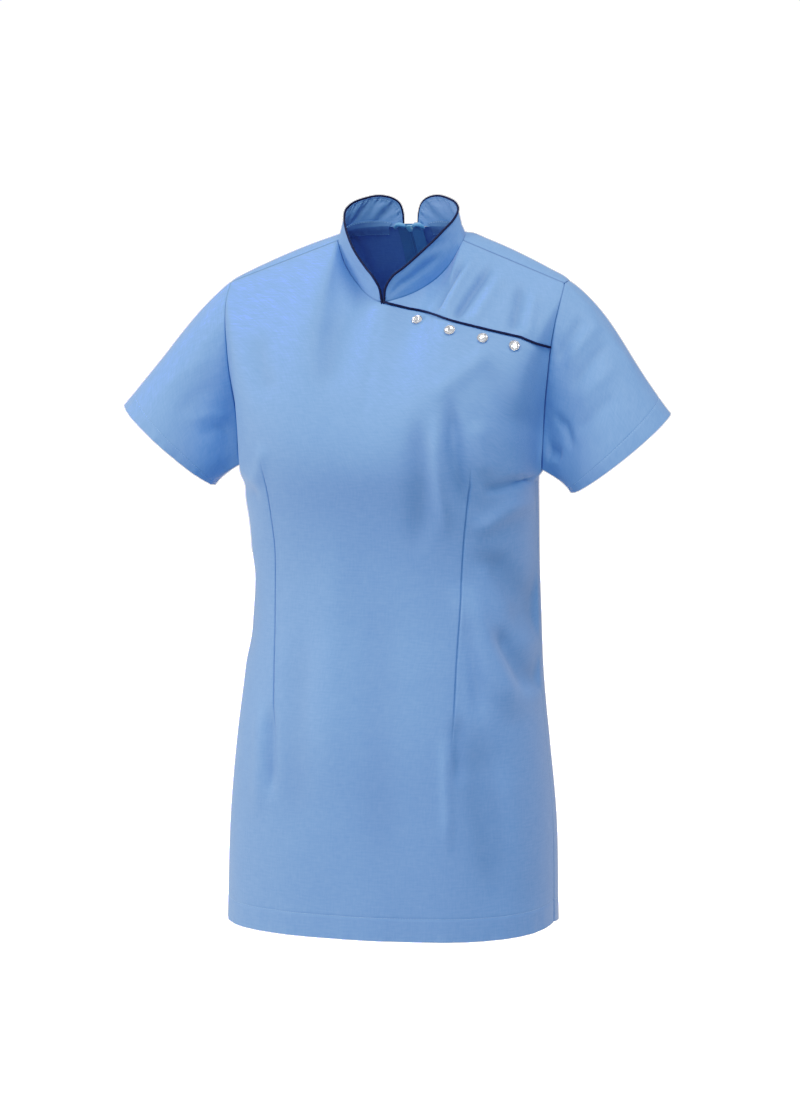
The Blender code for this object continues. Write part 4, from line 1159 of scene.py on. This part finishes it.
# The coil below the slider is small loops from each side in turn. Rings of one loop: reach
# across from the middle, share of its thickness, lift off the tape
COIL_RINGS = (
    (-0.00055, 0.45, 0.0),
    (-0.00035, 0.95, 0.0001),
    (0.0004, 1.0, 0.0002),
    (0.0013, 0.85, 0.0),
    (0.0021, 0.4, -0.0003),
)
verts, faces = [], []
run = runs_along(centre, 0)
loop_starts = np.arange(TAPE_RISE + SLIDER_HEIGHT / 2 + 0.0006, ZIP_LENGTH - 0.004, COIL_PITCH / 2)
for index, start in enumerate(loop_starts):
    sign = 1 if index % 2 else -1
    spot = along_line(centre, run, start)
    way, rise = unit(along_line(centre_way, run, start)), unit(along_line(centre_out, run, start))
    base = len(verts)
    for reach, swell, lift in COIL_RINGS:
        middle = spot + np.array([sign * reach, 0.0, 0.0]) + rise * (lift - ZIP_TAPE_CLOTH / 2)
        for turn in range(6):
            angle = turn * math.pi / 3
            ring = way * math.cos(angle) + rise * math.sin(angle) * 1.25
            verts.append(middle + ring * COIL_RADIUS * swell)
    for ring in range(4):
        for turn in range(6):
            after = (turn + 1) % 6
            first = base + ring * 6
            faces.append((first + turn, first + after, first + 6 + after, first + 6 + turn))
    faces.append([base + turn for turn in range(5, -1, -1)])
    faces.append([base + 24 + turn for turn in range(6)])
coil = new_piece("zip_coil", closed_mesh("zip_coil", verts, faces))
dress(coil, nylon, "zip_tape", "zip_chain")

# The slider is a small painted die casting: two shield-shaped plates joined by a post, with two
# lugs outside. The pull tab's eye turns between the lugs.
SLIDER_HALF_WIDTH = 0.0038
SLIDER_PLATE = 0.0009
SLIDER_RISE = 0.0005
SLIDER_GAP = 0.0003
CAD_TAPE_CLOTH = 0.0010
LUG_REACH = 0.0022
LUG_WIDTH = 0.0009
PULL_EYE_HALF_WIDTH = 0.0014
PULL_EYE_RADIUS = 0.0009
PULL_THICKNESS = 0.0010
PULL_RAISED = 0.00018


def plate_mesh(shape, outline, low, high, bevel):
    # A flat plate cut to an outline in x and z, with its edges rounded over
    bottom = [shape.verts.new((x, low, z)) for x, z in outline]
    top = [shape.verts.new((x, high, z)) for x, z in outline]
    made = [shape.faces.new(bottom), shape.faces.new(top[::-1])]
    for index in range(len(outline)):
        after = (index + 1) % len(outline)
        made.append(shape.faces.new((bottom[index], top[index], top[after], bottom[after])))
    edges = {edge for face in made[:2] for edge in face.edges}
    bmesh.ops.bevel(shape, geom=list(edges), offset=bevel, segments=2, profile=0.6, affect="EDGES")


def symmetric(left_half):
    # A whole outline from its left half, read from one end to the other
    return left_half + [(-x, z) for x, z in reversed(left_half)]


def to_piece(shape, name, place):
    bmesh.ops.recalc_face_normals(shape, faces=shape.faces)
    mesh = bpy.data.meshes.new(name)
    shape.to_mesh(mesh)
    shape.free()
    mesh.shade_smooth()
    mesh.set_sharp_from_angle(angle=math.radians(35))
    mesh.transform(place)
    return new_piece(name, mesh)


painted, shader, start = finish("painted zinc", {"Coat Weight": 0.4})
spot = start.node("ShaderNodeTexCoord", {}, {}, 3)
grain = start.node("ShaderNodeTexNoise", {}, {"Vector": spot, "Scale": 900.0, "Detail": 2.0})
link(start.mix(grain, (0.140, 0.380, 0.720, 1.0), (0.190, 0.450, 0.800, 1.0)), shader, "Base Color")
link(grain * 0.2 + 0.22, shader, "Roughness")
outward = unit(np.cross(top_up, np.array([-1.0, 0.0, 0.0])))
outward = outward if outward[1] > 0 else -outward
slider_centre = centre[7] + top_up * SLIDER_RISE - outward * CAD_TAPE_CLOTH / 2
place = Matrix((
    (1.0, 0.0, 0.0, 0.0),
    (0.0, outward[1], top_up[1], slider_centre[1]),
    (0.0, outward[2], top_up[2], slider_centre[2]),
    (0.0, 0.0, 0.0, 1.0),
))
half = SLIDER_HEIGHT / 2
wide = SLIDER_HALF_WIDTH
shield = symmetric([
    (-0.45 * wide, half), (-wide, 0.72 * half), (-wide, 0.1 * half), (-0.62 * wide, -0.8 * half),
    (-0.45 * wide, -half),
])
inner = CAD_TAPE_CLOTH / 2 + SLIDER_GAP
outer = inner + SLIDER_PLATE
shape = bmesh.new()
plate_mesh(shape, shield, inner, outer, 0.00022)
plate_mesh(shape, shield, -outer, -inner, 0.00022)
post = symmetric([(-0.0007, half - 0.0005), (-0.0009, -0.001)])
plate_mesh(shape, post, -inner - 0.0001, inner + 0.0001, 0.0001)
for sign in (-1, 1):
    near = sign * (PULL_EYE_HALF_WIDTH + SLIDER_GAP)
    far = near + sign * LUG_WIDTH
    for reach, low, high in (
        (0.0019, outer - 0.0002, outer + LUG_REACH * 0.75),
        (0.0012, outer + LUG_REACH * 0.6, outer + LUG_REACH),
    ):
        plate_mesh(shape, [(near, -reach), (near, reach), (far, reach), (far, -reach)], low, high, 0.00018)
slider = to_piece(shape, "zip_slider_body", place)
dress(slider, painted, "zip_metal", "zip_slider")
shape = bmesh.new()
axis_reach = outer + PULL_EYE_RADIUS + SLIDER_GAP
eye_place = Matrix.Translation((0.0, axis_reach, 0.0)) @ Matrix.Rotation(math.pi / 2, 4, "Y")
bmesh.ops.create_cone(
    shape, cap_ends=True, segments=20, radius1=PULL_EYE_RADIUS, radius2=PULL_EYE_RADIUS,
    depth=2 * PULL_EYE_HALF_WIDTH, matrix=eye_place,
)
thin = PULL_THICKNESS / 2
tab = symmetric([
    (-0.0013, 0.0), (-0.0011, -0.0035), (-0.0024, -0.0050), (-0.0026, -0.0065), (-0.0026, -0.0225),
    (-0.0018, -0.0238),
])
plate_mesh(shape, tab, axis_reach - thin, axis_reach + thin, 0.0002)
panel = symmetric([(-0.0016, -0.0085), (-0.0016, -0.0205)])
thin += PULL_RAISED
plate_mesh(shape, panel, axis_reach - thin, axis_reach + thin, 0.00012)
pull = to_piece(shape, "zip_pull_tab", place)
dress(pull, painted, "zip_metal", "zip_pull", body="pull")

# Four clear cut-glass buttons sit in a row below the slanted seam. Each is a faceted dome with a
# silver foil behind it, sewn on through a small metal cup.
BUTTONS = ((0.0385, 0.0105), (0.0805, 0.0100), (0.1155, 0.0100), (0.1470, 0.0100))
BUTTON_TILT = (0.10, -0.14, 0.06, -0.08)
# Rings of facets: count, radius, height, turn
DOME_RINGS = (
    (16, 0.0054, 0.0006, 0.0),
    (16, 0.0058, 0.0012, 0.5),
    (16, 0.0054, 0.0020, 0.0),
    (8, 0.0040, 0.0033, 0.5),
    (8, 0.0020, 0.0041, 0.0),
)
glass = finish(
    "cut glass",
    {
        "Base Color": (0.93, 0.95, 0.98, 1.0), "Roughness": 0.03, "IOR": 1.6,
        "Transmission Weight": 0.85, "Specular IOR Level": 0.9,
    },
)[0]
foil = finish("silver foil", {"Base Color": (0.50, 0.53, 0.58, 1.0), "Roughness": 0.12, "Metallic": 1.0})[0]
slant_x = [row[0] for row in SLANT_SEAM]
slant_z = [row[1] for row in SLANT_SEAM]
for number, ((x, below), tilt) in enumerate(zip(BUTTONS, BUTTON_TILT), start=1):
    z = np.interp(x, slant_x, slant_z) - below
    away = (front_grid[..., 0] - x) ** 2 + (front_grid[..., 2] - z) ** 2
    row, column = np.unravel_index(np.argmin(away), away.shape)
    out = Vector(front_out[row, column])
    turned = out.to_track_quat("Z", "Y").to_matrix().to_4x4() @ Matrix.Rotation(tilt * 3, 4, "Z")
    place = Matrix.Translation(Vector(front_grid[row, column]) + out * 0.0002) @ turned
    shape = bmesh.new()
    for count, radius, height, turn in DOME_RINGS:
        for step in range(count):
            angle = (step + turn) * 2 * math.pi / count
            shape.verts.new((radius * math.cos(angle), radius * math.sin(angle), height))
    bmesh.ops.convex_hull(shape, input=shape.verts)
    bmesh.ops.dissolve_limit(shape, angle_limit=math.radians(1), verts=shape.verts, edges=shape.edges)
    dome = to_piece(shape, "button_dome_%d" % number, place)
    for polygon in dome.data.polygons:
        polygon.use_smooth = False
    dress(dome, glass, "button", "button_%d" % number)
    shape = bmesh.new()
    bmesh.ops.create_cone(
        shape, cap_ends=True, segments=24, radius1=0.0050, radius2=0.0053, depth=0.0005,
        matrix=Matrix.Translation((0.0, 0.0, 0.00025)),
    )
    cup = to_piece(shape, "button_foil_%d" % number, place)
    dress(cup, foil, "button")

# A pale studio: a white floor below the hung tunic, and the camera where the photograph's was.
FLOOR_Z = -1.60
FLOOR_REACH = 14.0
AIM = Vector((-0.0005, 0.0, -0.338))
CAMERA_TURN = math.radians(17)
CAMERA_RISE = math.radians(5)
CAMERA_DISTANCE = 4.0
ROOM_LIGHT = 0.52
ROOM_WHITE = 1.04
corners = [(x * FLOOR_REACH, y * FLOOR_REACH, FLOOR_Z) for x, y in ((-1, -1), (1, -1), (1, 1), (-1, 1))]
floor_mesh = bpy.data.meshes.new("floor")
floor_mesh.from_pydata(corners, [], [(0, 1, 2, 3)])
floor = new_piece("floor", floor_mesh)
floor.data.materials.append(finish(
    "white floor",
    {
        "Base Color": (0.9, 0.9, 0.9, 1.0), "Roughness": 0.9,
        "Emission Color": (1.0, 1.0, 1.0, 1.0), "Emission Strength": 1.0,
    },
)[0])
floor.visible_diffuse = False
toward = Vector((
    math.sin(CAMERA_TURN) * math.cos(CAMERA_RISE),
    -math.cos(CAMERA_TURN) * math.cos(CAMERA_RISE),
    math.sin(CAMERA_RISE),
))
lens = bpy.data.cameras.new("camera")
lens.sensor_fit = "VERTICAL"
lens.sensor_height = 36.0
lens.lens = 121.3
camera = new_piece("camera", lens)
camera.location = AIM + toward * CAMERA_DISTANCE
camera.rotation_euler = toward.to_track_quat("Z", "Y").to_euler()
bpy.context.scene.camera = camera
for name, spot, size, power, colour in (
    ("key", (-1.6, -2.4, 2.2), 1.4, 46.0, (1.0, 0.94, 0.88)),
    ("top", (1.0, -1.1, 3.0), 1.6, 94.0, (1.0, 0.94, 0.87)),
    ("side", (-3.2, -1.2, 0.2), 1.4, 64.0, (1.0, 0.96, 0.93)),
    ("front", (1.1, -4.0, 0.3), 1.6, 30.0, (0.98, 0.98, 1.0)),
):
    light = bpy.data.lights.new(name, "AREA")
    light.shape = "DISK"
    light.size = size
    light.energy = power
    light.color = colour
    lamp = new_piece(name, light)
    lamp.location = spot
    lamp.rotation_euler = (Vector(spot) - AIM).to_track_quat("Z", "Y").to_euler()
# The room is plain white to the camera, and dimmer as light
world = bpy.data.worlds.new("studio")
bpy.context.scene.world = world
world.use_nodes = True
room = Shade(world.node_tree)
seen_by_camera = room.node("ShaderNodeLightPath", {}, {})
sky = world.node_tree.nodes["Background"]
sky.inputs["Color"].default_value = (1.0, 1.0, 1.0, 1.0)
link(seen_by_camera * (ROOM_WHITE - ROOM_LIGHT) + ROOM_LIGHT, sky, "Strength")
# The picture's tones: a camera's curve, deeper in the shadows and softer in the highlights
view = bpy.context.scene.view_settings
view.view_transform = "Standard"
view.use_curve_mapping = True
tones = view.curve_mapping.curves[3]
for light_in, light_out in (
    (0.03, 0.016), (0.08, 0.072), (0.16, 0.185), (0.30, 0.340),
    (0.45, 0.480), (0.60, 0.590), (0.80, 0.695), (0.93, 0.785),
):
    tones.points.new(light_in, light_out)
view.curve_mapping.update()
